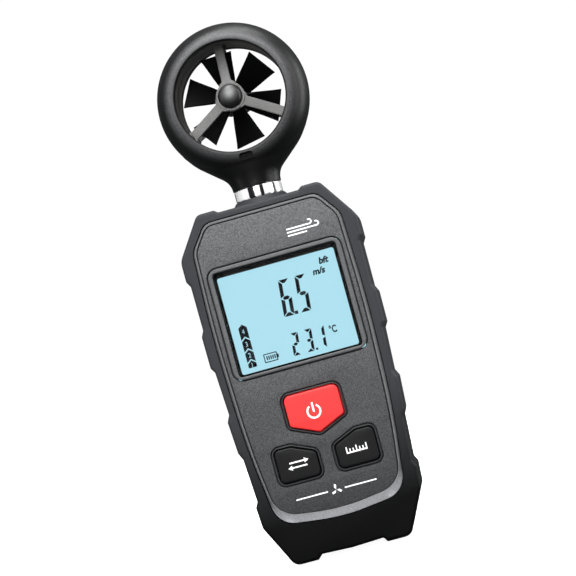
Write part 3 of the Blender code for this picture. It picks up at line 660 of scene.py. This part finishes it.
def blended(piece, voxel, passes):
    """The piece with its joints melted together into one soft skin."""
    remesh = piece.modifiers.new("melt", "REMESH")
    remesh.mode = "VOXEL"
    remesh.voxel_size = voxel * MM
    soften = piece.modifiers.new("soften", "SMOOTH")
    soften.factor = 0.5
    soften.iterations = passes
    return settle(piece)


def passage_cutter():
    room = LIP_R + 0.7
    half = [(0, 12), (LIP_R, 12), (LIP_R, 7.6), (room, 7.4), (room, SEAT_DEPTH), (SEAT_R, SEAT_DEPTH)]
    back = [(radius, -depth) for radius, depth in reversed(half)]
    return turned("passage", [*half, *back], (0, 0, HEAD_Z), "back")


def screw_hole(name, spot, y, radii):
    profile = [(0, y[2]), (radii[1], y[2]), (radii[1], y[1]), (radii[0], y[1]), (radii[0], y[0]), (0, y[0])]
    return turned(name, profile, (spot[0], 0, spot[1]), "back", steps=24)


def build_shells():
    whole = blended(join(ring(), neck()), 0.36, 10)
    seat = [(0, 123.4), (6.2, 123.4), (6.2, 118.3), (7.2, 118.3)]
    seat += [(7.2, 116.2), (6.2, 116.2), (6.2, 112), (0, 112)]
    trim = block("trim", (-20, 20), (-20, 20), (105, NECK_Z))
    whole = cut(whole, trim, passage_cutter(), turned("seat", seat, (0, 0, 0)))
    rear = add_object("head_rear", whole.data.copy())
    front = cut(whole, block("back_half", (-40, 40), (-SEAM, 20), (100, 170)))
    front = cut(front, plate("slot", [rectangle(-2.1, 2.1, 121.7, 123.8, 0.9)], (-12, -8.1)))
    front.name = "head_front"
    rear = cut(rear, block("front_half", (-40, 40), (-20, SEAM), (100, 170)))
    for index, spot in enumerate(((-12.5, 125.4), (12.5, 125.4), (0, 161.75))):
        rear = cut(rear, screw_hole(f"screw_{index}", spot, (-5, 5.0, 12), (1.2, 1.8)))
    rear.name = "head_rear"
    dress(front, "head", "head_plastic", "head_plastic", "head_front_shell")
    dress(rear, "head", "head_plastic", "head_plastic", "head_rear_shell")
    # Painted shade: the slot's rim and a sheet at its floor are near-black so that the slot reads dark.
    lip = [rectangle(-2.35, 2.35, 121.4, 124.1, 1.1), rectangle(-1.95, 1.95, 121.85, 123.65, 0.8)]
    painted_shade_rim = plate("sensor_slot_rim", lip, (-9.35, SLOT_DEPTH + 0.1), 0.1)
    dress(painted_shade_rim, "head", "head_plastic", "mask_black")
    floor = plate("sensor_slot_floor", [rectangle(-2.0, 2.0, 121.8, 123.7, 0.8)], (SLOT_DEPTH, -8.2))
    dress(floor, "head", "head_plastic", "mask_black")


def spoke_outline():
    """A spoke seen flat, from under the hub to the liner, flared at both ends."""
    half, flare = 1.45, 0.7
    side = [(2.4, 3.4)]
    for step in range(7):
        a = math.radians(90 * step / 6)
        side.append((4.1 + flare * math.sin(a) + 0.4, half + flare * (1 - math.sin(a)) ** 1.6))
    for step in range(7):
        a = math.radians(90 * step / 6)
        side.append((16.8 + 0.6 * math.sin(a), half + 0.4 * (1 - math.cos(a))))
    lower = [(along, -across) for along, across in reversed(side)]
    return [Vector(point) for point in (*side, *lower)]


def spoke(name, angle, side):
    """A spoke that slopes back from the hub's face to the liner."""
    inner, outer = Vector((3.0, HUB_DEPTH)), Vector((17.4, SEAT_DEPTH - 0.6))
    drop = math.atan2(inner.y - outer.y, outer.x - inner.x)
    bar = plate(name, [spoke_outline()], (0, 1.6), 0.22, 2)
    bar.data.transform(Matrix.Translation(Vector((-3.0, 0, 0)) * MM))
    slope = Matrix.Rotation(drop, 4, "Z")
    lift = Matrix.Translation(Vector((3.0, -HUB_DEPTH, 0)) * MM)
    turn = Matrix.Rotation(math.radians(-angle), 4, "Y")
    place = Matrix.Translation(Vector((0, 0, HEAD_Z)) * MM)
    bar.data.transform(place @ turn @ lift @ slope)
    if side > 0:
        bar.data.transform(Matrix.Scale(-1, 4, (0, 1, 0)))
        bar.data.flip_normals()
    return bar


def build_guard(name, node, side):
    """Hub, spokes and liner of one half of the vane cartridge."""
    facing = "front" if side < 0 else "back"
    deep, mouth = SEAT_DEPTH - 0.3, 6.6
    liner = [(LIP_R + 0.15, mouth), (LIP_R + 0.5, mouth), (LIP_R + 0.5, deep)]
    liner += [(18.2, deep), (18.2, 0.15), (LIP_R, 0.15)]
    for step in range(8):
        height = 0.5 + 0.8 * step
        liner += [(LIP_R, height), (LIP_R + 0.14, height + 0.14), (LIP_R, height + 0.28)]
    tube = turned(name + "_liner", liner, (0, 0, HEAD_Z), facing)
    hub = [(0, HUB_DEPTH), (4.2, HUB_DEPTH), (4.4, HUB_DEPTH - 0.2), (4.4, 5.5), (0, 5.5)]
    star = turned(name, hub, (0, 0, HEAD_Z), facing, steps=48)
    for angle in SPOKE_ANGLES:
        star = join(star, spoke(f"{name}_{angle}", angle, side))
    seat = [(0, 7.9), (2.0, 7.9), (2.0, 4), (0, 4)]
    star = cut(star, turned("bearing_seat", seat, (0, 0, HEAD_Z), facing, steps=24))
    if side == CHIP_SIDE:
        star = cut(star, block("chip_seat", (-1.1, 1.1), (4.5, 7.2), (HEAD_Z - 4.3, HEAD_Z - 2.2)))
    star.name = name
    dress(star, "head", "guard_plastic", "guard_plastic", node)
    return dress(tube, "head", "guard_plastic", "liner_plastic")


def build_cap(name, node, facing):
    """The shiny dome on a hub, on a low round foot."""
    base, radius, height = HUB_DEPTH + 0.1, 3.75, 2.25
    dome = [math.radians(90 - 90 * step / 14) for step in range(15)]
    profile = [(radius * math.cos(a), base + 0.1 + height * math.sin(a)) for a in dome]
    profile[0] = (0, base + 0.1 + height)
    cap = turned(name, [*profile, (radius, base), (0, base)], (0, 0, HEAD_Z), facing, steps=64)
    return dress(cap, "head", "head_plastic", "cap_plastic", node)


def build_impeller():
    """Six pitched blades, steep at the hub and flatter at the tips."""
    steps, root_r, tip_r = 8, 2.6, 15.2
    bm = bmesh.new()
    for number in range(6):
        middle = math.radians(37 + 60 * number)
        front, back = [], []
        for step in range(steps + 1):
            share = step / steps
            radius = root_r + (tip_r - root_r) * share
            half = math.radians(18 + 9 * (1 - share) ** 2)
            deep = 3.4 - 1.1 * share
            for row, sign in ((front, 1), (back, -1)):
                angle = middle + sign * half
                spot = (radius * math.cos(angle), -sign * deep, HEAD_Z + radius * math.sin(angle))
                row.append(bm.verts.new(Vector(spot) * MM))
        for step in range(steps):
            bm.faces.new((front[step], front[step + 1], back[step + 1], back[step]))
    mesh = bpy.data.meshes.new("blades")
    bm.to_mesh(mesh)
    bm.free()
    blades = add_object("blades", mesh)
    sheet = blades.modifiers.new("thickness", "SOLIDIFY")
    sheet.thickness = 0.65 * MM
    sheet.offset = 0
    blades = settle(blades)
    hub = [(0, 4.3), (2.9, 4.3), (3.4, 3.8), (3.4, -4.3), (0, -4.3)]
    wheel = join(turned("vane_wheel", hub, (0, 0, HEAD_Z), "front", steps=48), blades)
    room = [(0, 12), (0.95, 12), (0.95, -2.4), (2.9, -2.4), (2.9, -12), (0, -12)]
    wheel = cut(wheel, turned("bore", room, (0, 0, HEAD_Z), "front", steps=48))
    wheel.name = "vane_wheel"
    return dress(wheel, "impeller", "vane_plastic", "vane_plastic", "impeller")


def build_collar():
    top = 113.4
    profile = [(6.2, top), (7.1, top)]
    profile += [(7.1 + 0.3 * math.sin(a), top - 0.3 + 0.3 * math.cos(a)) for a in (0.5, 1.0, 1.57)]
    profile += [(7.4, 110.3), (6.9, 110.3), (6.9, 104.8), (9, 104.8), (9, 103.3), (6.2, 103.3)]
    collar = turned("neck_collar", profile, (0, 0, 0))
    return dress(collar, "case", "chrome", "chrome", "swivel_collar")


# ---------------------------------------------------------------- case


CASE = rounded(both_sides(CASE_HALF))
PANEL = rounded(both_sides(PANEL_HALF))
BODY = grown(CASE, 1.0)


def neck_socket():
    return turned("socket", [(0, 120), (7.2, 120), (7.2, 100), (0, 100)], (0, 0, 0), steps=64)


def build_boot():
    """The rubber boot with its rounded grips, corner lands, neck boss and feet."""
    made = plate("boot", [rounded(both_sides(BOOT_HALF), steps=5)], BOOT_Y, 1.0, 4)
    boss = [(0, 110), (7.6, 110)]
    boss += [(7.6 + 0.4 * math.sin(a), 109.6 + 0.4 * math.cos(a)) for a in (0.8, 1.5)]
    boss += [(9.9 - 1.2 * math.cos(a), 107.9 + 1.2 * (1 - math.sin(a))) for a in (0.2, 0.6, 1.0)]
    boss += [(10.6, 107.6), (10.6, 106), (0, 106)]
    made = join(made, turned("boss", boss, (0, 0, 0)))
    slope = block("slope", (-40, 40), (-10, 0), (-30, 0))
    slope.data.transform(Matrix.Rotation(math.radians(13), 4, "X"))
    slope.data.transform(Matrix.Translation(Vector((0, BOOT_Y[0], 14)) * MM))
    body_room = plate("body_room", [grown(BODY, 0.3)], (BODY_FRONT_Y - 0.3, BODY_BACK_Y + 0.3))
    face_room = plate("face_room", [grown(CASE, 0.3)], (-20, 20))
    made = cut(made, slope, body_room, face_room, neck_socket())
    made.name = "boot"
    return dress(made, "case", "boot_rubber", "boot_rubber", "rubber_boot")


def eased(outline, low, high):
    """The outline moved outwards by one distance at the bottom and another from just above it."""
    bottom, top = 15, 25
    near, far = grown(outline, low), grown(outline, high)
    return [a.lerp(b, min(max((a.y - bottom) / (top - bottom), 0), 1)) for a, b in zip(near, far)]


def build_front_case():
    """The dark case front behind the fascia."""
    made = loft("case_front", [at_depth(BODY, y) for y in (-0.15, BODY_FRONT_Y)])
    made = join(made, plate("step", [CASE], (-12.4, BODY_FRONT_Y + 1)))
    hollow = plate("hollow", [grown(BODY, -1.8)], (-10.6, 5))
    window = plate("window_seat", [rectangle(-20, 20, 57.6, 91.4, 1)], (-13, -10))
    holes = [plate(name + "_hole", [grown(rounded(corners), 0.35)], (-13, -10)) for name, corners in KEYS]
    made = cut(made, hollow, neck_socket(), window, *holes)
    made.name = "case_front"
    return dress(made, "case", "case_plastic", "case_plastic", "front_case")


def build_rim():
    """The pale rim round the fascia, which widens into a broad chamfer below it and carries a painted
    highlight there.
    """
    seat = eased(PANEL, 0.12, 0.42)
    edge = eased(PANEL, 0.24, 0.85)
    sections = [
        at_depth(CASE, -12.3),
        at_depth(CASE, -12.45),
        at_depth(grown(CASE, -0.1), -12.6),
        at_depth(grown(edge, 0.06), FASCIA_Y[0] + 0.12),
        at_depth(grown(edge, -0.06), FASCIA_Y[0]),
    ]
    made = cut(loft("fascia_rim", sections), plate("seat", [seat], (-20, -10)))
    made.name = "fascia_rim"
    return dress(made, "case", "case_plastic", "rim_plastic")


def build_fascia():
    """The grained panel, with a hole for the display frame and one for each key's surround."""
    x0, x1, z0, z1 = BEZEL
    frame_hole = rectangle(x0 - 0.45, x1 + 0.45, z0 - 0.45, z1 + 0.45, 3.35)
    holes = [grown(rounded(corners), 1.25) for _, corners in KEYS]
    made = plate("fascia", [PANEL, frame_hole, *holes], FASCIA_Y, 0.16)
    dress(made, "case", "fascia_plastic", "fascia_plastic", "fascia_panel")
    for name, corners in KEYS:
        outline = rounded(corners)
        band = [grown(outline, 0.85), grown(outline, 0.45)]
        ridge = plate(name + "_surround", band, (-13.5, -12.35), 0.14)
        dress(ridge, "case", "fascia_plastic", "surround")


def build_display():
    """The display's raised frame, clear window, black border and the dark segments behind it; a black well
    paints the shade on the frame's inner wall, and the border is widened at the top and right as a painted
    shadow.
    """
    x0, x1, z0, z1 = WINDOW
    well = 0.3
    mouth = rectangle(x0 - well, x1 + well, z0 - well, z1 + well, 1.1)
    ridge = plate("display_frame", [rectangle(*BEZEL, 2.9), mouth], (-13.9, -12.4), 0.3, 4)
    dress(ridge, "case", "case_plastic", "frame_plastic", "display_bezel")
    # Painted shade: a black sleeve lines the frame's inner wall.
    shade_well = plate("display_well", [mouth, rectangle(*WINDOW, 0.8)], (-13.3, -12.4))
    dress(shade_well, "case", "case_plastic", "mask_black")
    reach = 0.8
    pane = rectangle(x0 - reach, x1 + reach, z0 - reach, z1 + reach, 0.8)
    lens = plate("window", [pane], (-12.1, -10.9), 0.1, 2)
    dress(lens, "case", "clear_window", "clear_window", "display_window")
    # The border is real black print, widened at the top and right as a painted shadow of the frame.
    mask = [rectangle(-19.6, 19.6, 57.9, 91.1, 0.8), rectangle(*LIT_AREA, 0.7)]
    border = plate("display_border", mask, (-10.75, -10.6))
    dress(border, "case", "chip", "mask_black")
    marks = merge(*lcd_marks())
    marks.name = "lcd_segments"
    dress(marks, "case", "chip", "lcd_ink")


# Which strokes each figure lights: top, upper left, upper right, middle, lower left, lower right, foot
FIGURES = {"6": "1101111", "5": "1101011", "2": "1011101", "3": "1011011", "1": "0010010"}


def figure(value, x, z, width, height, stroke):
    """The lit strokes of one figure, with mitred ends and a small gap between them."""
    slant = 0.09
    lit = FIGURES[value]
    half, gap = stroke / 2, stroke * 0.16
    left, right = x, x + width
    foot, middle, top = z, z + height / 2, z + height
    level = [
        (left + gap, right - gap, top, -1),
        (left + half, right - half, middle, 0),
        (left + gap, right - gap, foot, 1),
    ]
    upright = [
        (left, middle, top, 1),
        (right, middle, top, -1),
        (left, foot, middle, 1),
        (right, foot, middle, -1),
    ]
    shapes = []
    for (x0, x1, at, inward), on in zip(level, (lit[0], lit[3], lit[6])):
        if on == "0":
            continue
        if inward:
            deep = at + inward * stroke
            corners = [(x0, at), (x1, at), (x1 - stroke, deep), (x0 + stroke, deep)]
        else:
            corners = [(x0, at), (x0 + half, at + half), (x1 - half, at + half), (x1, at)]
            corners += [(x1 - half, at - half), (x0 + half, at - half)]
        shapes.append(corners)
    for (at, z0, z1, inward), on in zip(upright, (lit[1], lit[2], lit[4], lit[5])):
        if on == "0":
            continue
        low_cut = gap if z0 == foot else gap * 0.8
        outer = [(at, z0 + low_cut), (at, z1 - gap)]
        inner_low = z0 + stroke + gap if z0 == foot else z0 + half + gap
        inner_high = z1 - stroke - gap if z1 == top else z1 - half - gap
        shapes.append([*outer, (at + inward * stroke, inner_high), (at + inward * stroke, inner_low)])
    return [[Vector((px + (pz - z) * slant, pz)) for px, pz in corners] for corners in shapes]


def lettering(name, text, x, z, height, y, weight=0.03, slant=0.2, squeeze=1):
    """A unit symbol in plain sans lettering, leaning like the figures."""
    curve = bpy.data.curves.new(name, "FONT")
    curve.body = text
    curve.size = height * MM
    curve.shear = slant
    curve.extrude = INK / 2 * MM
    curve.offset = weight * height * MM
    made = add_object(name, curve)
    made.location = Vector((x, y, z)) * MM
    made.rotation_euler.x = math.radians(90)
    made.scale.x = squeeze
    return settle(made)


def lcd_marks():
    y = LCD_Y
    shapes = []
    for value, x in (("6", -1.7), ("5", 3.45)):
        shapes += figure(value, x, 72.5, 3.3, 11.1, 1.1)
    for value, x in (("2", -1.95), ("3", 2.25), ("1", 6.1)):
        shapes += figure(value, x, 60.5, 2.3, 6.8, 0.85)
    shapes += [rectangle(1.75, 2.75, 72.5, 73.5), rectangle(5.0, 5.65, 60.5, 61.15)]
    marks = [plate(f"stroke_{index}", [shape], y) for index, shape in enumerate(shapes)]
    marks += arrow_stack(y) + battery_sign(y)
    middle = sum(y) / 2
    marks.append(lettering("unit_speed", "m/s", 10.0, 82.4, 2.6, middle, 0.045))
    marks.append(lettering("unit_force", "bft", 12.6, 85.2, 2.6, middle, 0.045))
    marks.append(lettering("unit_degree", "°C", 10.25, 64.3, 3.0, middle, 0.03, 0, 0.72))
    return marks


def arrow_stack(y):
    """Four stacked blocks with pointed tops, each with its number left clear."""
    x0, x1 = -16.0, -13.4
    middle = (x0 + x1) / 2
    tops, gap, point = (73.8, 69.6, 66.0, 62.7), 0.45, 1.0
    foot = 60.5
    made, numbers = [], []
    for index, top in enumerate(tops):
        low = tops[index + 1] + gap if index < 3 else foot
        notch = 0 if index == 3 else -point
        corners = [(middle, top), (x1, top - point), (x1, low + notch)]
        corners += [(middle, low), (x0, low + notch), (x0, top - point)]
        made.append(plate(f"arrow_{index}", [[Vector(corner) for corner in corners]], y))
        spot = (middle - 0.45, (top + low) / 2 - 1.0)
        number = lettering(f"number_{index}", str(4 - index), *spot, 2.0, y[0] - INK, 0, 0, 0.8)
        numbers.append(number)
    numbers = merge(*numbers)
    numbers.name = "lcd_numbers"
    # The numbers take the display's painted glow.
    dress(numbers, "case", "lcd_glass", "lcd_glass")
    return made


def battery_sign(y):
    """A battery outline with five charge bars."""
    outline = rectangle(-10.85, -6.7, 60.7, 63.4, 0.2)
    inside = rectangle(-10.55, -7.0, 61.0, 63.1)
    made = [plate("battery_outline", [outline, inside], y)]
    made.append(plate("battery_tip", [rectangle(-6.7, -6.3, 61.5, 62.6)], y))
    for index in range(5):
        x = -10.1 + 0.62 * index
        made.append(plate(f"charge_{index}", [rectangle(x, x + 0.38, 61.45, 62.65)], y))
    return made


# ---------------------------------------------------------------- keys and marks


def build_key(name, corners, look):
    outline = rounded(corners)
    cap = plate(name + "_cap", [outline], (KEY_FACE_Y, -9.4), 0.42, 5)
    flange = plate("flange", [grown(outline, 0.95)], (-10.3, -9.4))
    cap = join(cap, flange)
    cap.name = name + "_cap"
    return dress(cap, name, look, look, name)


def mark_y(face):
    """The depth of a printed mark on a face that looks along -Y."""
    return (face - INK, face + MARK_GRIP)


def arc_band(x, z, radius, width, start, end, steps=24):
    """A curved band between two angles, in degrees from +X."""
    angles = [math.radians(start + (end - start) * step / steps) for step in range(steps + 1)]
    far, near = radius + width / 2, radius - width / 2
    outer = [Vector((x + far * math.cos(a), z + far * math.sin(a))) for a in angles]
    inner = [Vector((x + near * math.cos(a), z + near * math.sin(a))) for a in angles]
    return outer + inner[::-1]


def build_key_marks():
    """A power sign, a change sign of two arrows, and a scale sign."""
    y = mark_y(KEY_FACE_Y)
    x, z = -0.25, 43.15
    sign = merge(
        plate("power_sign", [arc_band(x, z, 1.95, 0.55, 90 + 32, 450 - 32)], y),
        plate("power_stem", [rectangle(x - 0.28, x + 0.28, z - 0.2, z + 2.7, 0.05)], y),
    )
    dress(sign, "power_key", "inner_plastic", "white_ink")
    swap = []
    for side, z in ((1, 29.95), (-1, 28.45)):
        x = -8.9
        shaft = rectangle(x - 2.6, x + 2.6, z - 0.22, z + 0.22)
        base = x + side * 2.0
        tip = [Vector((x + side * 3.3, z)), Vector((base, z - 0.75)), Vector((base, z + 0.75))]
        swap += [plate(f"swap_shaft_{side}", [shaft], y), plate(f"swap_tip_{side}", [tip], y)]
    swap = merge(*swap)
    swap.name = "mode_sign"
    dress(swap, "mode_key", "inner_plastic", "white_ink")
    scale = [plate("scale_line", [rectangle(5.9, 12.3, 28.3, 28.75)], y)]
    for index in range(7):
        x = 6.1 + index
        tall = 1.55 if index % 3 == 0 else 0.9
        scale.append(plate(f"tick_{index}", [rectangle(x - 0.18, x + 0.18, 28.3, 28.75 + tall)], y))
    scale = merge(*scale)
    scale.name = "unit_sign"
    dress(scale, "unit_key", "inner_plastic", "white_ink")


def build_fascia_marks():
    """Plain signs: three strokes of wind at the top and a small vane between two lines below."""
    y = mark_y(FASCIA_Y[0])
    wind = []
    for index, (length, z) in enumerate(((7.2, 97.5), (9.2, 96.5), (6.0, 95.5))):
        x0 = 6.0
        wind.append(plate(f"gust_{index}", [rectangle(x0, x0 + length, z - 0.21, z + 0.21, 0.15)], y))
        if index < 2:
            curl = 0.65
            wind.append(plate(f"curl_{index}", [arc_band(x0 + length, z + curl, curl, 0.42, -90, 120)], y))
    wind = merge(*wind)
    wind.name = "wind_sign"
    dress(wind, "case", "inner_plastic", "white_ink")
    x, z = 0, 18.9
    parts = [plate("line_left", [rectangle(-12.4, -2.6, z - 0.2, z + 0.2, 0.15)], y)]
    parts.append(plate("line_right", [rectangle(2.6, 12.4, z - 0.2, z + 0.2, 0.15)], y))
    for step in range(3):
        turn = Matrix.Rotation(math.radians(90 + 120 * step), 2)
        leaf = [turn @ Vector(corner) for corner in ((0.15, 0), (0.7, 0.5), (1.75, 0.35), (1.5, -0.25))]
        parts.append(plate(f"leaf_{step}", [[Vector((x + p.x, z + p.y)) for p in leaf]], y))
    parts = merge(*parts)
    parts.name = "vane_sign"
    dress(parts, "case", "inner_plastic", "white_ink")


# ---------------------------------------------------------------- back


def build_door():
    """The battery door, with grip ribs and an arrow moulded into its tongue end."""
    x0, x1, z0, z1 = DOOR
    door = plate("door", [rectangle(x0, x1, z0, z1, 0.6)], (12.8, 14.17), 0.2, 2)
    for side in (-1, 1):
        door = join(door, block("hook", (side * 10 - 2, side * 10 + 2), (12.3, 13.2), (z0 - 0.9, z0 + 1)))
        door = cut(door, block("slit", (side * 4.1 - 0.4, side * 4.1 + 0.4), (12, 16), (z1 - 8, z1 + 1)))
    for index in range(5):
        z = z1 - 11 - 1.5 * index
        door = cut(door, block("rib_gap", (-7, 7), (13.8, 15), (z, z + 0.7), 0.15))
    arrow = [Vector((0, z1 - 21.5)), Vector((2.6, z1 - 19)), Vector((-2.6, z1 - 19))]
    door = cut(door, plate("arrow", [arrow], (13.85, 15)))
    door.name = "door"
    return dress(door, "battery_door", "case_plastic", "case_plastic", "battery_door")


# ---------------------------------------------------------------- studio


# Name, spot in metres, height aimed at, width and height, and power in watts
LIGHTS = (
    ("key", (0.15, -0.6, 0.8), 0.1, (0.8, 0.5), 5),
    ("right_strip", (0.8, -0.15, 0.2), 0.09, (0.25, 0.9), 3.5),
    ("left_strip", (-0.8, -0.3, 0.2), 0.1, (0.15, 0.8), 1),
    ("low_front", (-0.2, -0.8, 0.05), 0.06, (0.9, 0.08), 3),
    ("front_high", (-0.05, -0.85, 0.45), 0.1, (0.35, 0.25), 3.6),
    ("right_rim", (0.75, 0.35, 0.12), 0.08, (0.15, 0.7), 3),
    ("top", (0.1, -0.1, 0.9), 0.1, (0.9, 0.3), 9),
    ("back_light", (-0.3, 0.8, 0.6), 0.09, (0.8, 0.6), 9),
)
FLOOR_R, DOME_R = 2.9, 3  # metres
FLOOR_DROP = 0.0004  # metres under the feet
LENS, SENSOR = 123.18, 36
CAMERA_SPOT = (48.0, -599.8, 56.2)
CAMERA_TURN = (-4.492, 2.374, -15.305)  # yaw, pitch and roll in degrees


def area_light(name, spot, aim_z, size, power):
    """A rectangular lamp at a spot in metres, aimed at a height on the meter's axis."""
    data = bpy.data.lights.new(name, "AREA")
    data.shape = "RECTANGLE"
    data.size, data.size_y = size
    data.energy = power
    lamp = bpy.data.objects.new(name, data)
    bpy.context.scene.collection.objects.link(lamp)
    lamp.location = spot
    lamp.rotation_euler = (Vector((0, 0, aim_z)) - Vector(spot)).to_track_quat("-Z", "Y").to_euler()
    return lamp


def flat_white(name, colour, glow_strength):
    made = bpy.data.materials.new(name)
    made.use_nodes = True
    nodes, links = made.node_tree.nodes, made.node_tree.links
    shader = nodes["Principled BSDF"]
    shader.inputs["Roughness"].default_value = 0.9
    shader.inputs["Emission Color"].default_value = (1, 1, 1, 1)
    shader.inputs["Emission Strength"].default_value = glow_strength
    noise = nodes.new("ShaderNodeTexNoise")
    noise.inputs["Scale"].default_value = 3
    tone = nodes.new("ShaderNodeMapRange")
    tone.inputs["To Min"].default_value = colour * 0.98
    tone.inputs["To Max"].default_value = colour
    links.new(noise.outputs["Fac"], tone.inputs["Value"])
    links.new(tone.outputs["Result"], shader.inputs["Base Color"])
    return made


def build_studio():
    """A pale floor in a white dome, with soft lights in front, above, behind and at both sides."""
    bm = bmesh.new()
    bmesh.ops.create_circle(bm, cap_ends=True, radius=FLOOR_R, segments=96)
    floor = add_object("floor", mesh_of("floor", bm))
    floor.location.z = -FLOOR_DROP
    floor.data.materials.append(flat_white("floor_white", 0.5, 0.96))
    bm = bmesh.new()
    bmesh.ops.create_uvsphere(bm, u_segments=64, v_segments=32, radius=DOME_R)
    bmesh.ops.reverse_faces(bm, faces=bm.faces)
    mesh = bpy.data.meshes.new("dome")
    bm.to_mesh(mesh)
    bm.free()
    dome = add_object("dome", mesh)
    dome.data.materials.append(flat_white("dome_white", 0.0, 1.02))
    for item in (floor, dome):
        item.visible_diffuse = False
        item.visible_glossy = False
    dome.visible_shadow = False
    world = bpy.data.worlds.new("studio")
    bpy.context.scene.world = world
    world.use_nodes = True
    sky = world.node_tree.nodes["Background"]
    sky.inputs["Color"].default_value = (0.9, 0.95, 1, 1)
    sky.inputs["Strength"].default_value = 0.1
    lamps = {item[0]: area_light(*item) for item in LIGHTS}
    lamps["low_front"].visible_glossy = False
    lamps["low_front"].visible_transmission = False
    lamps["back_light"].visible_glossy = False


def build_camera():
    """A long lens a little to the right of the meter and rolled, so that the meter leans to the left."""
    data = bpy.data.cameras.new("camera")
    data.lens = LENS
    data.sensor_width = SENSOR
    yaw, pitch, roll = (math.radians(angle) for angle in CAMERA_TURN)
    ahead = Vector((math.sin(yaw) * math.cos(pitch), math.cos(yaw) * math.cos(pitch), math.sin(pitch)))
    right = Vector((math.cos(yaw), -math.sin(yaw), 0))
    up = right.cross(ahead)
    across = right * math.cos(roll) + up * math.sin(roll)
    along = up * math.cos(roll) - right * math.sin(roll)
    camera = bpy.data.objects.new("camera", data)
    camera.matrix_world = Matrix((across, along, -ahead)).transposed().to_4x4()
    camera.location = Vector(CAMERA_SPOT) * MM
    bpy.context.scene.collection.objects.link(camera)
    bpy.context.scene.camera = camera
    bpy.context.scene.view_settings.view_transform = "Standard"


dress_frame()
build_shells()
build_guard("guard_front", "front_guard", -1)
build_guard("guard_rear", "rear_guard", 1)
build_cap("cap_front", "front_hub_cap", "front")
build_cap("cap_rear", "rear_hub_cap", "back")
build_impeller()
build_collar()
build_boot()
build_front_case()
build_rim()
build_fascia()
build_display()
for key, shape in KEYS:
    build_key(key, shape, "red_key" if key == "power_key" else "dark_key")
build_key_marks()
build_fascia_marks()
build_door()
build_studio()
build_camera()
